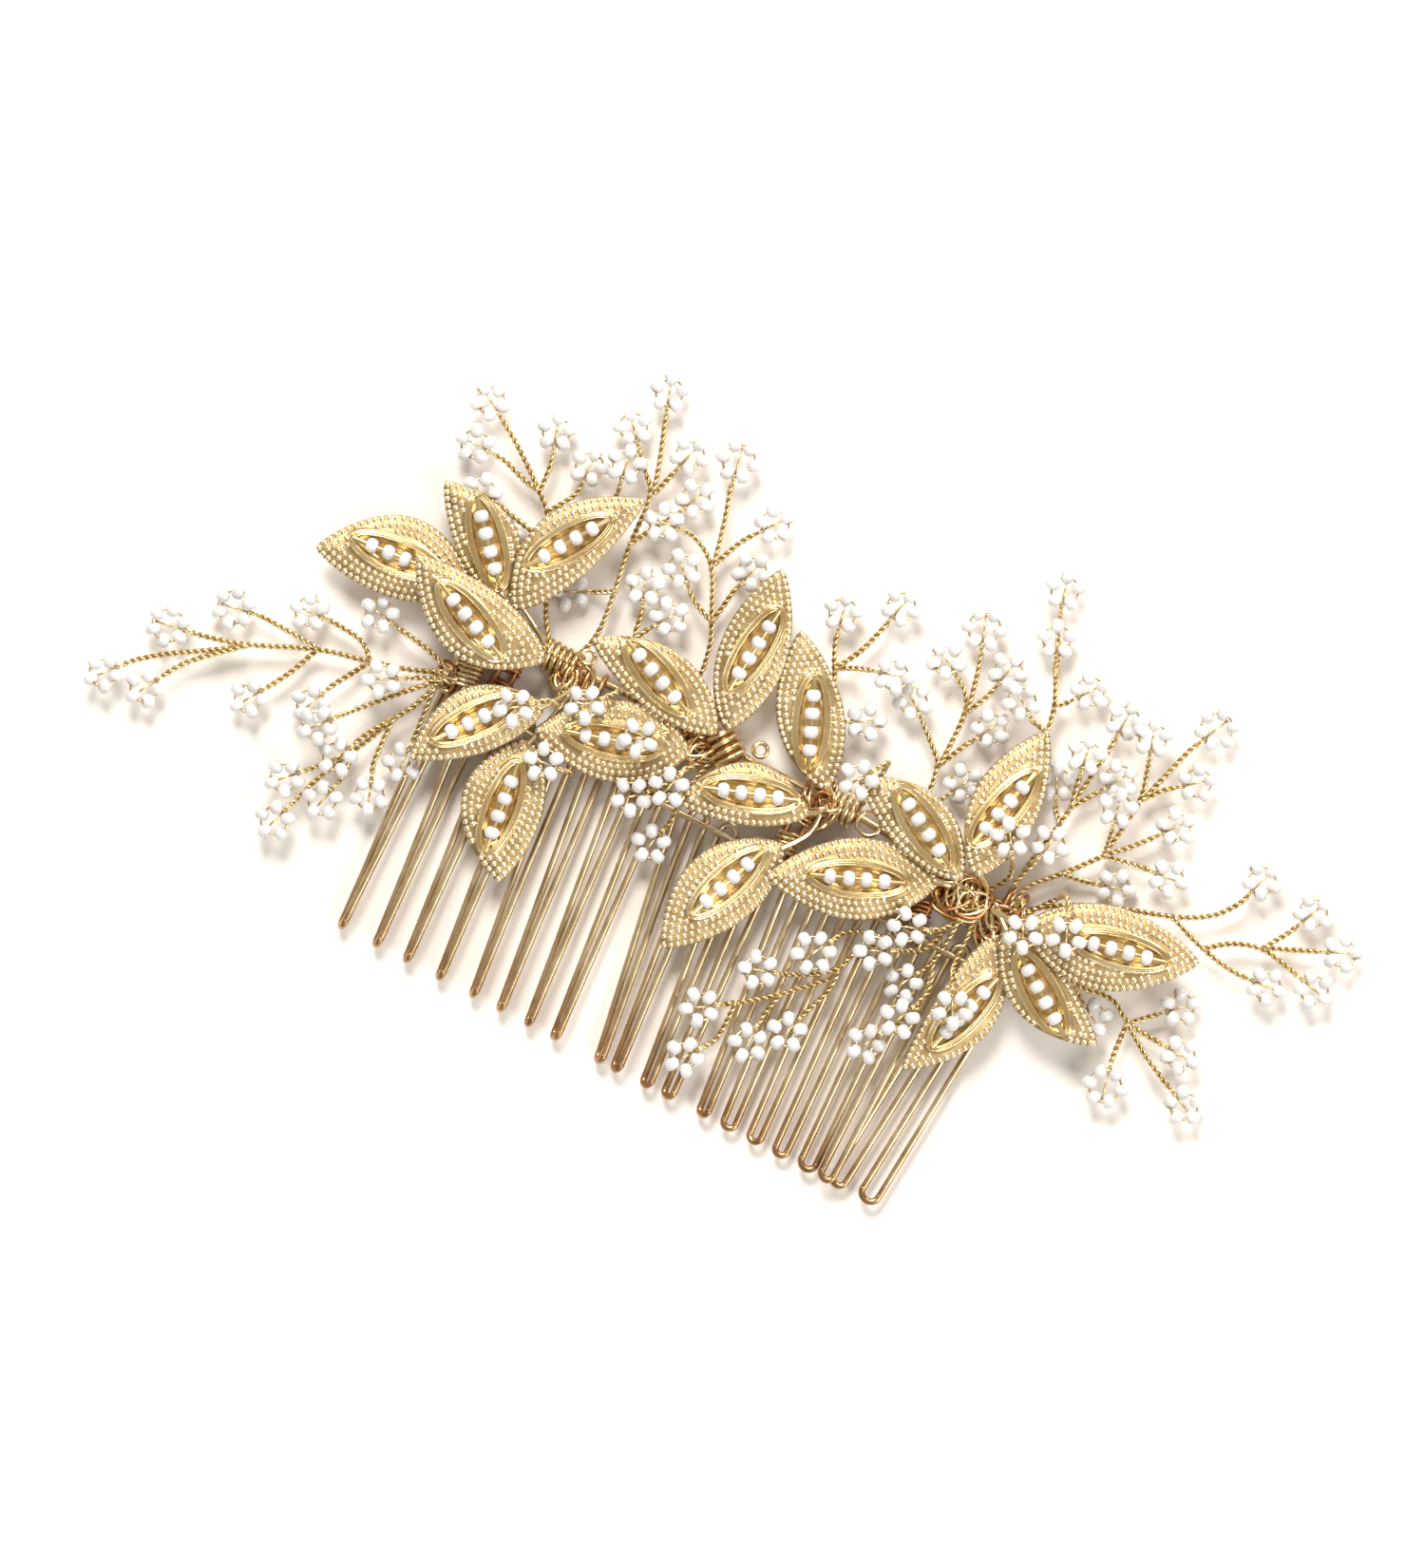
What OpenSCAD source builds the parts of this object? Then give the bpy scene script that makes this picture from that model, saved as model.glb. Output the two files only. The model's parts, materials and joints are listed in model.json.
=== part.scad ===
// Bridal hair comb: a row of hairpin teeth bent from one wire, a backbone wire tied above it,
// six sprigs of three stamped leaves with a row of seed beads in each, and sprays of bead
// flowers on twisted wire. It lies on its back: +X runs along the row of teeth, the teeth point
// to -Y, and the leaves face +Z. Millimetres.

/* [Comb] */
// Distance between the first and the last tooth wire at the spine
comb_w = 81; // [70:0.5:95]
// Length of the teeth, from the spine to the tips
tooth_len = 33.6; // [25:0.1:38]
// Diameter of the tooth wire
tooth_wire = 0.9; // [0.7:0.05:1.2]
// Diameter of the two spine wires
spine_wire = 0.8; // [0.6:0.05:1.1]
// Radius of a tooth's rounded tip, along the wire's centre
tip_r = 0.8; // [0.6:0.05:1]
// Diameter of the backbone wire that carries the vine
backbone_wire = 1; // [0.8:0.05:1.2]

/* [Bindings] */
// Diameter of the wire that ties the spine to the backbone
tie_wire = 0.7; // [0.5:0.05:0.8]
// Diameter of the wire wound round the leaf stems
binding_wire = 0.8; // [0.6:0.05:0.9]
// Radius of a wound coil, along the wire's centre
coil_r = 1.75; // [1.7:0.05:2]

/* [Leaves] */
// Thickness of the leaf plate
leaf_t = 0.8; // [0.6:0.05:1]
// Height of the raised rim round the dish, above the plate
rim_h = 0.7; // [0.4:0.05:1]
// Width of the raised rim
rim_w = 0.7; // [0.5:0.05:0.9]
// Length of the dish in the middle of a leaf
dish_l = 11.2; // [10.8:0.1:12]
// Width of the dish
dish_w = 3.1; // [2.9:0.1:3.4]
// Thickness left under the dish
dish_floor = 0.25; // [0.2:0.05:0.3]
// Diameter of a leaf's stem
stem_d = 0.9; // [0.7:0.05:1]

/* [Beads] */
// Diameter of a seed bead
bead_d = 2; // [1.8:0.05:2.1]
// Length of a seed bead along its bore
bead_l = 1.56; // [1.4:0.02:1.6]
// Bore of a seed bead
bead_bore = 0.8; // [0.7:0.05:0.9]
// Spacing of the beads in a leaf
bead_pitch = 2.3; // [2.2:0.05:2.4]
// Diameter of the wire through a leaf's beads
bead_wire = 0.65; // [0.6:0.01:0.7]

/* [Sprays] */
// Outer diameter of a twisted pair of wires
twist_d = 0.7; // [0.5:0.05:0.8]
// Diameter of the single wire through a flower's beads
ring_wire = 0.3; // [0.2:0.05:0.35]
// Height of the sprays that have nothing under them
spray_z = 3; // [2.6:0.1:3.2]
// Height of the sprays that lie over the teeth or the spine
over_z = 3.8; // [3.6:0.1:4.2]

/* [Hidden] */
$fn = 32;
gold = [0.83, 0.62, 0.30];
bronze = [0.62, 0.42, 0.22];
copper = [0.60, 0.33, 0.17];
pearl = [0.95, 0.94, 0.92];
// The layout is measured from the middle of the spine; this moves it to the part's origin
origin = [1.8, -8, 0];

tooth_z = tie_wire + spine_wire + tooth_wire / 2 - 0.05;
back_z = tie_wire + spine_wire / 2;
front_z = tooth_z + (tooth_wire + spine_wire) / 2 - 0.05;
tie_top = front_z + (spine_wire + tie_wire) / 2;
row_z = dish_floor + bead_d / 2 + 0.1;

// Where each tooth's tip is, and how wide the tooth looks from the front there
tooth_tips = [[-38, 1.3], [-33, 1.3], [-28.7, 1.3], [-24, 1.3], [-19.2, 1.3], [-15.3, 1.3],
  [-11.3, 1.3], [-7.5, 1.5], [-1.2, 1.6], [1.2, 1.7], [5.5, 1.9], [8.6, 2.1], [13.6, 2],
  [17.2, 2.5], [20.9, 2.4], [24.6, 2.5], [28.4, 2.9], [31.2, 2.6], [32.9, 2.7], [37.2, 3.2]];
// One tooth lies over its neighbours
raised_tooth = 17;
raised_by = 1.2;

// Points that the backbone wire runs through
backbone = [[-40.5, 7.5, 1.9], [-28.7, 9.5, 1.9], [-16, 9.6, 1.9], [-5.2, 9.4, 1.9],
  [11.7, 9.6, 1.9], [22, 9, 1.9], [30.5, 7.6, 1.9], [38.5, 7, 1.9]];
// Where the tie wires go round the spine and the backbone
tie_x = [-39.4, -37.4, -35.3, -33.2, -24.9, -22.8, -12.5, -10.4, 6.2, 8.3, 24.9, 27, 35.3, 37.4];

// Leaves, three to a sprig: [base, heading, length, width, bow to the left, turn of the dish,
// shift of the dish, height of the base, pitch]
leaves = [
  [[-43, 12.5], 193, 20.5, 10.5, -1.5, -8, 0, 4.2, 0],
  [[-38, 12.5], 144, 17.7, 8, -1.4, -12, -0.5, 4.2, 3],
  [[-37.2, 12.5], 67, 21.7, 8.8, 2, -10, 0, 5.2, 4],
  [[-30.5, 8.5], 168, 21, 9.5, 2, -11, 0, 6.8, 1],
  [[-28, 3.5], 229, 18.3, 8.5, -1.5, 4, -0.5, 5.5, 2],
  [[-28, -1], 286, 18.7, 10.5, -1.5, -9, 0, 4.2, 1],
  [[-9, 7], 200, 20, 10.5, 0, -4, 0, 4.2, 3],
  [[-7, 10.5], 170.5, 20, 8, -1.2, -13, 0.5, 5.4, 2],
  [[-6.3, 11.5], 98, 21.7, 8.7, 0, -13, 0, 4.4, 7],
  [[8.5, 10.5], 126.5, 20.5, 8.6, 0.5, -13, -1.5, 4.4, 1],
  [[8, 7], 202.5, 17, 8, -1.8, -3, -0.8, 5.5, 1],
  [[7, 2], 247.5, 20.3, 10, -1, 2, -1.5, 4.2, 1],
  [[26.5, 7], 206, 21.9, 10.5, 0, -4, -0.5, 4.2, 3],
  [[29, 8.5], 163, 18.5, 8, -1.3, -12, -1, 5.4, 2],
  [[30.2, 9.5], 91, 20.8, 8.7, 0.6, -15, -1, 6.4, -4],
  [[38.5, 6.8], 16, 22.7, 10.8, -0.5, -3, 1.2, 6.8, 1],
  [[36.5, 5.5], -24, 18.9, 7.5, -1.5, -10, 0, 5.4, 1],
  [[36.3, 4.5], 262, 21, 8, 2.2, -8, 0, 4.2, 0]];

// Stems of each sprig, from the leaf bases into the bindings
sprig_stems = [
  [[[-44, 12.4, 4.2], [-42, 12.4, 3.6], [-37, 12.2, 3.6], [-33.5, 11.8, 3.6],
    [-31.3, 10, 3.1], [-29.9, 10, 2.9]], [[-39, 13.3, 4.2], [-37, 12.2, 3.6]],
   [[-36.8, 13.6, 5.2], [-33.5, 11.8, 3.6]]],
  [[[-31.2, 8.6, 7.6], [-31.6, 8.7, 5], [-31.2, 8.9, 3.1], [-29.9, 8.9, 2.9]],
   [[-28.6, 2.8, 6.3], [-25.9, 6.2, 4.8], [-25.9, 9.2, 3.3], [-27.4, 9.5, 3]],
   [[-27.6, -2, 5], [-26.4, 3, 4.6], [-25.9, 6.2, 4.8]]],
  [[[-9.8, 6.7, 5], [-9.4, 8.4, 3.8], [-9, 9.3, 3.1], [-7.2, 9.4, 2.9]],
   [[-7.7, 10.6, 6.2], [-9.4, 10.4, 4.6], [-9, 9.3, 3.1]],
   [[-6.5, 12.4, 5.2], [-8.6, 12, 4], [-9.4, 10.4, 4.6]]],
  [[[7.9, 11.2, 5.2], [9.2, 10.6, 4], [9.5, 9.7, 3.1], [10.8, 9.6, 2.9]],
   [[7.3, 6.7, 6.3], [9.3, 7.6, 4.8], [9.5, 9.7, 3.1]],
   [[6.8, 1.3, 5], [9.3, 4.5, 4.6], [9.3, 7.6, 4.8]]],
  [[[25.8, 6.7, 5], [28.3, 7.2, 4.8], [28.3, 7.5, 3.2], [29.4, 7.6, 2.9]],
   [[30.2, 10.4, 7.1], [32.6, 9, 4.6], [32.7, 8.1, 3.1], [31.5, 8.1, 2.9]],
   [[28.2, 8.7, 6.2], [28.3, 7.2, 4.8]]],
  [[[39.2, 7, 7.6], [36.4, 6.8, 6], [34, 6.8, 4.5], [32.8, 7, 3.1], [31.5, 7, 2.9]],
   [[37, 5.3, 6.2], [35.2, 6.8, 5.25]],
   [[36.2, 3.6, 5], [35, 5.2, 4.4], [34, 6.8, 4.5]]]];

// Sprays: each twig is [points that the wire runs through, flower]. A flower is [x, y, height
// over the spray, beads], and the last two may be left out
far_left = [
  [[[-41, 1.5], [-45, -0.3], [-50.2, -1.8], [-56.8, -3.3], [-65, -7.2], [-70, -8.6]],
    [-75, -9.5, 0, 6]],
  [[[-50.2, -1.8], [-52, 0.2], [-56.5, 0.5]], [-60, 0.3]],
  [[[-50.2, -1.8], [-53, -6.5]], [-54.4, -10]],
  [[[-56.8, -3.3], [-65, -3]], [-68.7, -3.7, 0, 6]],
  [[[-56.8, -3.3], [-58.6, -8]], [-61.7, -13]],
  [[[-65, -7.2], [-70, -11.7], [-71.8, -14]], [-74, -18]],
  [[[-65, -7.2], [-69, -10], [-73.8, -13], [-76.8, -15.4]], [-79.5, -18.7]]];
left_low = [
  [[[-41, 0.5], [-45, -3.5], [-49, -8]], [-52.3, -12, 3.2]],
  [[[-41, 0.5], [-44, -0.8]], [-47.8, -3, 1.5]],
  [[[-41, 1.8], [-44, 3], [-48, 3.5]], [-52, 4.2, -0.8]],
  [[[-41.5, -0.8], [-42.5, -4], [-44.2, -6.6], [-46.8, -13, -1.2], [-50, -16.6, -1]], [-53, -19.8]],
  [[[-44.2, -6.6], [-44, -12.6]], [-42.4, -16.8]],
  [[[-46.8, -13, -1.2], [-46.4, -16, -1]], [-47.4, -20.2]],
  [[[-44.2, -6.6], [-46, -9.5, 0.4]], [-48.3, -14.4, 1]],
  [[[-46.8, -13, -1.2], [-49.4, -18, -1.4], [-50.2, -21, -1.4]], [-51.6, -25.2]],
  [[[-41.5, -0.8], [-40.8, -7]], [-40.6, -11.2]]];
left_top = [
  [[[-33, 13], [-36, 20], [-39, 25.5], [-41.2, 27.3], [-46, 31]], [-52, 34.6]],
  [[[-41.2, 27.3], [-43.5, 27.6], [-47, 28.8]], [-51.2, 28.8]],
  [[[-41.2, 27.3], [-41.4, 30.8]], [-42.8, 35]],
  [[[-36, 20], [-38, 22], [-43, 23]], [-47.6, 23.8]],
  [[[-36, 20], [-38.2, 20.4, -0.8]], [-42.2, 20.2, -1.4]],
  [[[-39, 25.5], [-36.8, 29]], [-37, 33]],
  [[[-36, 20], [-33.4, 27], [-32.2, 31]], [-33, 35.4, 1.4]]];
top_left = [
  [[[-26, 13.5], [-26.8, 20.5], [-28, 26.5], [-28.2, 33.7], [-31, 36.2]], [-34.4, 40]],
  [[[-28.2, 33.7], [-29.5, 38], [-31, 42]], [-32.4, 46]],
  [[[-28.2, 33.7], [-27.4, 36.5]], [-26.4, 40.2]],
  [[[-28, 26.5], [-25.8, 30.5], [-24.6, 32.4]], [-23.2, 35.6]],
  [[[-26.8, 20.5], [-28.4, 19.6, -0.6]], [-32, 17.8, -1.4]],
  [[[-22, 16], [-22.4, 19]], [-23.8, 22.8]],
  [[[-22, 16], [-21, 18]], [-19.2, 20.8]]];
top_mid = [
  [[[-12, 15], [-13, 20.5], [-14.2, 22.7], [-17.3, 29.3], [-21, 31.4]], [-25.4, 31, 1.4]],
  [[[-17.3, 29.3], [-18.5, 34.5], [-19.8, 38.4]], [-20.6, 42.4, 0, 6]],
  [[[-17.3, 29.3], [-15.6, 33.6]], [-12.8, 37.4]],
  [[[-14.2, 22.7], [-17.5, 24]], [-20.6, 27]],
  [[[-14.2, 22.7], [-13.6, 27]], [-12.6, 30.8]],
  [[[8.4, 12.4], [5.6, 18.5], [2.3, 24.7], [0.9, 27.6]], [0, 31.5]],
  [[[2.3, 24.7], [4.3, 28], [5.3, 31.6]], [6.2, 35.6]],
  [[[2.3, 24.7], [5, 26.2, 1]], [9.4, 27.4, 2.2]],
  [[[5.6, 18.5], [5.9, 19]], [9, 20.6, 0]]];
top_right = [
  [[[20.5, 14], [19.8, 20], [18.3, 21.4], [16.2, 23.2]], [13, 25.7]],
  [[[19.8, 20], [19.8, 27.7], [18.2, 30]], [14.4, 32.2]],
  [[[19.8, 27.7], [18.6, 33]], [16.8, 38, 0, 6]],
  [[[19.8, 27.7], [21.2, 30.6]], [22, 34.6]],
  [[[20.5, 14], [21.6, 15.6]], [23.6, 19.4]],
  [[[19.8, 20], [21.2, 23.2]], [23.4, 27.2]],
  [[[30, 30], [29.3, 33.5], [27.7, 36.7], [27, 38]], [25.6, 41]],
  [[[30, 30], [27.6, 30.4]], [25.2, 32, 2.2]],
  [[[27.7, 36.7], [26.8, 39, -1.4], [24.6, 43.6, -1.4]], [23.6, 47]],
  [[[29.3, 33.5], [30.2, 34.2]], [32.4, 37.2]],
  [[[30, 12], [30, 22], [30, 30]], []]];
right_top = [
  [[[35, 11], [36.8, 20.5], [37, 23], [37.6, 29], [38, 32]], [38, 36]],
  [[[37, 23], [36.3, 26, 1]], [35.6, 29.8, 1.5]],
  [[[36.8, 20.5], [35.6, 21.6, -0.8]], [34, 25, -1.4]],
  [[[37, 23], [38.6, 25.4]], [40.8, 29]],
  [[[36, 11], [40, 15], [43.5, 19.5], [46.6, 22.6]], [50, 27]],
  [[[43.5, 19.5], [44.6, 28], [43.4, 31.4, 1]], [42, 35.6, 2.2]],
  [[[44.6, 28], [46, 33], [47, 36.4]], [48.8, 40.4, 0, 6]],
  [[[44.6, 28], [46.2, 30.2]], [49.8, 33.2]],
  [[[43.5, 19.5], [43.1, 21.8, 1.4]], [42.2, 25.6, 2.2]],
  [[[40, 15], [42.6, 15.4, -0.8]], [46.8, 16.6, -1.4]],
  [[[43.5, 19.5], [48, 20.4]], [52.2, 20.8]],
  [[[34.4, 11], [33.8, 13, 2]], [31.8, 16, 5.6]],
  [[[35, 11], [35.8, 13.6, 1]], [36.8, 17.6, 1.8]]];
far_right = [
  [[[38, 9], [43, 12.3], [48, 14.5], [55, 16.6], [59.4, 19], [61.6, 22]], [62.8, 26]],
  [[[55, 16.6], [60, 14.8], [65, 14]], [69.5, 14.4]],
  [[[60, 14.8], [63, 17.3], [66.8, 18.5], [70.2, 17.9]], [75, 16.8]],
  [[[66.8, 18.5], [68.8, 21.6]], [70.4, 25.4]],
  [[[66.8, 18.5], [71.2, 20.4]], [76, 22.6]],
  [[[48, 3], [52.8, 4.3], [56, 2], [60, 1.8]], [63.9, 1.6]],
  [[[56, 2], [60, -0.6], [63, -2]], [67.2, -3.9]],
  [[[56, 2], [56.3, -2.4]], [57.2, -6.3, 0, 6]],
  [[[56, 2], [58, 4]], [61, 7]],
  [[[48, 3], [48.6, 2.6]], [51.8, 0.6]],
  [[[40.8, 12, 0.6], [41.4, 12.9, 5], [42.2, 12.2, 6.3]], [43.8, 8.2, 6.6]],
  [[[36.5, 9.6], [37, 9.8, 4.6]], [38.8, 6, 5.8]],
  [[[13.4, 12], [14, 17.4, 1], [13.6, 17, 4.6]], [11.4, 13.6, 5]]];
right_low = [
  [[[31, 4], [30, 2, 0.5], [25, -2.2, 0.5], [20.4, -3.4], [18.8, -4.4]],
    [16.6, -8.4, 0.8, 6]],
  [[[30, 2, 0.5], [28.8, 1.2, 1.6]], [25.6, 0, 2.4]],
  [[[30, 2, 0.5], [29, -1.8, 0.6], [27, -2.6, 1.4]], [23.2, -4.6, 2.7]],
  [[[31, 4], [31, 1, 0.6], [30.6, -2.6]], [28.4, -6.6]],
  [[[30.6, -2.6], [32, -6, 1]], [30, -10.8, 2.2]],
  [[[30.6, -2.6], [32, -8], [30.2, -11.6]], [27.8, -15.6]],
  [[[33, 4], [33, -1.6, 0.6], [33.4, -2.6, 2.6]], [35.4, -6.6, 3.8]],
  [[[25, -2.2, 0.5], [21, -6, -0.6], [20.6, -9, -0.6], [16, -12, -0.6]], [11.4, -13.6]],
  [[[20.6, -9, -0.6], [20.6, -12, -0.2], [19.4, -15]], [18.3, -18.9]],
  [[[20, -10.4, -0.8], [15.4, -15], [10.8, -18.6]], [7, -21.2]],
  [[[10.8, -18.6], [11, -23.6]], [8.2, -27.7, 0.4]],
  [[[15.4, -15], [14.6, -18]], [14.6, -22.4]]];
left_front = [
  [[[-26, 4, 1.4], [-27.6, 4.6, 4.2]], [-31.3, 1.5, 5.3]],
  [[[-21, 9.6], [-20.4, 9.4, 2.6]], [-23.6, 6, 3.8]],
  [[[-12.6, 8, 2.4], [-12.4, 7.6, 4]], [-15.6, 5.4, 4.5]],
  [[[-21, -2.5, 0], [-21, -2.5, 2]], [-24.8, -2.9, 3.4]],
  [[[-9.4, 3.4, 0.2], [-10, 1.2, 0.8]], [-13, -1.6, 2.8]],
  [[[-7.4, 2, 0.2], [-7, -1.8]], [-8, -5.8]],
  [[[-8.6, 4.2, 0.2], [-8.4, 5, 3.4]], [-9.3, 1.6, 4.2]]];

// ---- wires ----

// Turns Z to point along a vector
module along(v) rotate([0, acos(v.z / norm(v)), atan2(v.y, v.x)]) children();

// A straight round rod between two points
module rod(a, b, d) translate(a) along(b - a) cylinder(d = d, h = norm(b - a));

function unit(v) = v / norm(v);

// A wire through a list of points. Its straight lengths stop just short of each bend, where a
// ball joins them
module wire(pts, d) {
  n = len(pts) - 1;
  dirs = [for (i = [0:n - 1]) unit(pts[i + 1] - pts[i])];
  cuts = [for (i = [0:n]) i == 0 || i == n ? 0
    : d / 2 * tan(acos(min(1, dirs[i - 1] * dirs[i])) / 2) + 0.03];
  for (i = [0:n - 1]) rod(pts[i] + dirs[i] * cuts[i], pts[i + 1] - dirs[i] * cuts[i + 1], d);
  for (i = [1:1:n - 1]) translate(pts[i]) along(dirs[i - 1] + dirs[i])
    sphere(r = 1.04 * norm([cuts[i], d / 2]));
}

module ring(r, d, angle = 360) {
  rotate_extrude(angle = angle) translate([r, 0]) circle(d = d);
}

// ---- comb ----

// Where tooth wire k meets the spine
function top_of(k) = [-comb_w / 2 + k * comb_w / (2 * len(tooth_tips) - 1), 0, tooth_z];
// Half the distance between a tooth's two wires at the tip, along X
function half_gap(i) = (tooth_tips[i][1] - tooth_wire) / 2;
function tip_radius(i) = max(tip_r, half_gap(i));
function tip_twist(i) = acos(half_gap(i) / tip_radius(i));
function tip_z(i) = tooth_z + (i == raised_tooth ? raised_by : 0);

module tooth(i) {
  r = tip_radius(i);
  a = tip_twist(i);
  c = [tooth_tips[i][0], r + tooth_wire / 2 - tooth_len, tip_z(i)];
  side = r * [cos(a), 0, sin(a)];
  translate(c) rotate([0, -a, 0]) rotate([0, 0, 180]) ring(r, tooth_wire, 180);
  for (s = [-1, 1]) {
    top = top_of(2 * i + (s + 1) / 2);
    rod(c + s * side, top, tooth_wire);
    translate(c + s * side) sphere(d = tooth_wire * 1.04);
    translate(top) sphere(d = tooth_wire * 1.04);
  }
}

module comb_teeth() color(bronze) translate(origin) {
  for (i = [0:len(tooth_tips) - 1]) tooth(i);
  for (k = [1:2:2 * len(tooth_tips) - 3])
    translate((top_of(k) + top_of(k + 1)) / 2)
      ring((top_of(k + 1).x - top_of(k).x) / 2, tooth_wire, 180);
}

module spine(z) color(gold) translate(origin)
  rod([-comb_w / 2 - 0.7, -0.6, z], [comb_w / 2 + 0.7, -0.6, z], spine_wire);

module backbone_wire() color(gold) translate(origin) wire(backbone, backbone_wire);

// ---- bindings ----

// One closed turn of tie wire round the spine and the backbone
module tie() {
  r = (tie_top - tie_wire / 2) / 2;
  z = r + tie_wire / 2;
  near = -0.3;
  far = 9;
  for (s = [-1, 1]) rod([0, near, z + s * r], [0, far, z + s * r], tie_wire);
  translate([0, far, z]) rotate([90, 0, 90]) rotate([0, 0, -90]) ring(r, tie_wire, 180);
  translate([0, near, z]) rotate([90, 0, 90]) rotate([0, 0, 90]) ring(r, tie_wire, 180);
}

module tie_wires() color(copper) translate(origin) for (x = tie_x) translate([x, 0, 0]) tie();

// Turns of binding wire round the backbone, slanted by an angle from square on
module coil(x, y, turns, pitch, r, slant) {
  for (i = [0:turns - 1])
    translate([x + (i - (turns - 1) / 2) * pitch, y, 2.4])
      rotate([90, 0, 90 + slant]) ring(r, binding_wire);
}

module binding_left() color(gold) translate(origin) {
  coil(-28.7, 9.5, 5, 0.85, coil_r, 0);
  translate([-26, 11.5, 3.9]) ring(0.9, 0.6);
}

module binding_middle_left() color(gold) translate(origin) {
  coil(-5.2, 9.4, 4, 1.1, 2, -40);
  translate([-1.2, 11.2, 3.4]) ring(0.9, 0.6);
}

module binding_middle_right() color(gold) translate(origin) {
  coil(11.7, 9.6, 4, 0.85, coil_r, 0);
  translate([15.3, 9.3, 3.9]) ring(1.5, 0.6);
}

module binding_right() color(gold) translate(origin) coil(30.5, 7.6, 4, 0.85, coil_r, 0);

// ---- leaves ----

function leaf_mid(l, bow, x) = 4 * bow * (x / l) * (1 - x / l);
function leaf_half(t, w) = w / 2 * pow(max(0, sin(180 * pow(t, 0.9))), 0.76);

module leaf_outline(l, w, bow) {
  n = 26;
  polygon(concat(
    [for (i = [0:n]) let (t = i / n) [l * t, leaf_mid(l, bow, l * t) + leaf_half(t, w)]],
    [for (i = [n - 1:-1:1]) let (t = i / n) [l * t, leaf_mid(l, bow, l * t) - leaf_half(t, w)]]));
}

module eye(l, w) polygon([for (i = [0:35]) [l / 2 * cos(10 * i), w / 2 * sin(10 * i)]]);

// Puts things at a leaf's base, with X along the leaf
module at_leaf(p) translate([p[0].x, p[0].y, p[7]]) rotate([0, 0, p[1]]) rotate([0, -p[8], 0])
  children();

// Puts things at the middle of a leaf's dish, with X along the row of beads
module at_dish(p) translate([p[2] / 2 + p[6], leaf_mid(p[2], p[4], p[2] / 2 + p[6]), 0])
  rotate([0, 0, p[5]]) children();

module leaf(p) at_leaf(p) difference() {
  union() {
    linear_extrude(leaf_t) leaf_outline(p[2], p[3], p[4]);
    at_dish(p) linear_extrude(leaf_t + rim_h) eye(dish_l + 2 * rim_w, dish_w + 2 * rim_w);
  }
  at_dish(p) translate([0, 0, dish_floor]) linear_extrude(3) eye(dish_l, dish_w);
}

// The first stem of a sprig is the thickest, and the others run into it or into each other
module sprig(k) color(gold) translate(origin) {
  for (i = [3 * k:3 * k + 2]) leaf(leaves[i]);
  for (j = [0:2]) wire(sprig_stems[k][j], stem_d - 0.12 * j);
}

module bead_wires(k) color(gold) translate(origin)
  for (i = [3 * k:3 * k + 2]) at_leaf(leaves[i]) at_dish(leaves[i])
    rod([-dish_l / 2 - 0.4, 0, row_z], [dish_l / 2 + 0.4, 0, row_z], bead_wire);

// ---- beads ----

// A seed bead with its bore along X
module bead() rotate([0, 90, 0]) rotate_extrude() intersection() {
  circle(d = bead_d);
  translate([bead_bore / 2, -bead_l / 2]) square([bead_d, bead_l]);
}

module bead_row(i) color(pearl) translate(origin) at_leaf(leaves[i]) at_dish(leaves[i])
  for (j = [-1.5:1.5]) translate([j * bead_pitch, 0, row_z]) bead();

// ---- sprays ----

function lifted(p, z) = [p.x, p.y, z + (len(p) > 2 ? p[2] : 0)];
function bead_count(f) = len(f) > 3 ? f[3] : 5;
// Radius of a flower's ring, which lets the beads just clear one another
function ring_r(f) = (bead_d + 0.06) / 2 / sin(180 / bead_count(f));
// Unit vector from a flower to the last point of its wire
function way(t) = let (f = t[1], v = t[0][len(t[0]) - 1], d = [v.x - f.x, v.y - f.y, 0]) d / norm(d);
function lead_in(t, z) = lifted(t[1], z) + way(t) * (ring_r(t[1]) + 1.1);

// How many of the twigs before twig i run through the point where it starts
function shared(list, i) = let (a = list[i][0][0]) len([for (j = [0:1:i - 1])
  if (len([for (p = list[j][0]) if (norm([p.x - a.x, p.y - a.y]) < 0.1) 1]) > 0) 1]);

// A twig that branches off starts on top of the others, or under them
module twig(list, i, z) {
  t = list[i];
  f = t[1];
  lift = [0, 0.78, -0.78, -1.56, 1.56][shared(list, i)];
  pts = [for (k = [0:len(t[0]) - 1]) lifted(t[0][k], z) + [0, 0, k == 0 ? lift : 0]];
  if (len(f) == 0) wire(pts, twist_d);
  else {
    wire(concat(pts, [lead_in(t, z)]), twist_d);
    rod(lead_in(t, z) + way(t) * 0.1, lifted(f, z) + way(t) * ring_r(f), ring_wire * 1.2);
    translate(lifted(f, z)) ring(ring_r(f), ring_wire);
  }
}

module flower(t, z) {
  f = t[1];
  n = bead_count(f);
  if (len(f) > 0) translate(lifted(f, z)) rotate([0, 0, atan2(way(t).y, way(t).x)])
    for (i = [0:n - 1]) rotate([0, 0, (i + 0.5) * 360 / n])
      translate([ring_r(f), 0, 0]) rotate([0, 0, 90]) bead();
}

module spray(list, z) color(gold) translate(origin)
  for (i = [0:len(list) - 1]) twig(list, i, z);
module flowers(list, z) color(pearl) translate(origin) for (t = list) flower(t, z);

// ---- assembly ----

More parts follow.
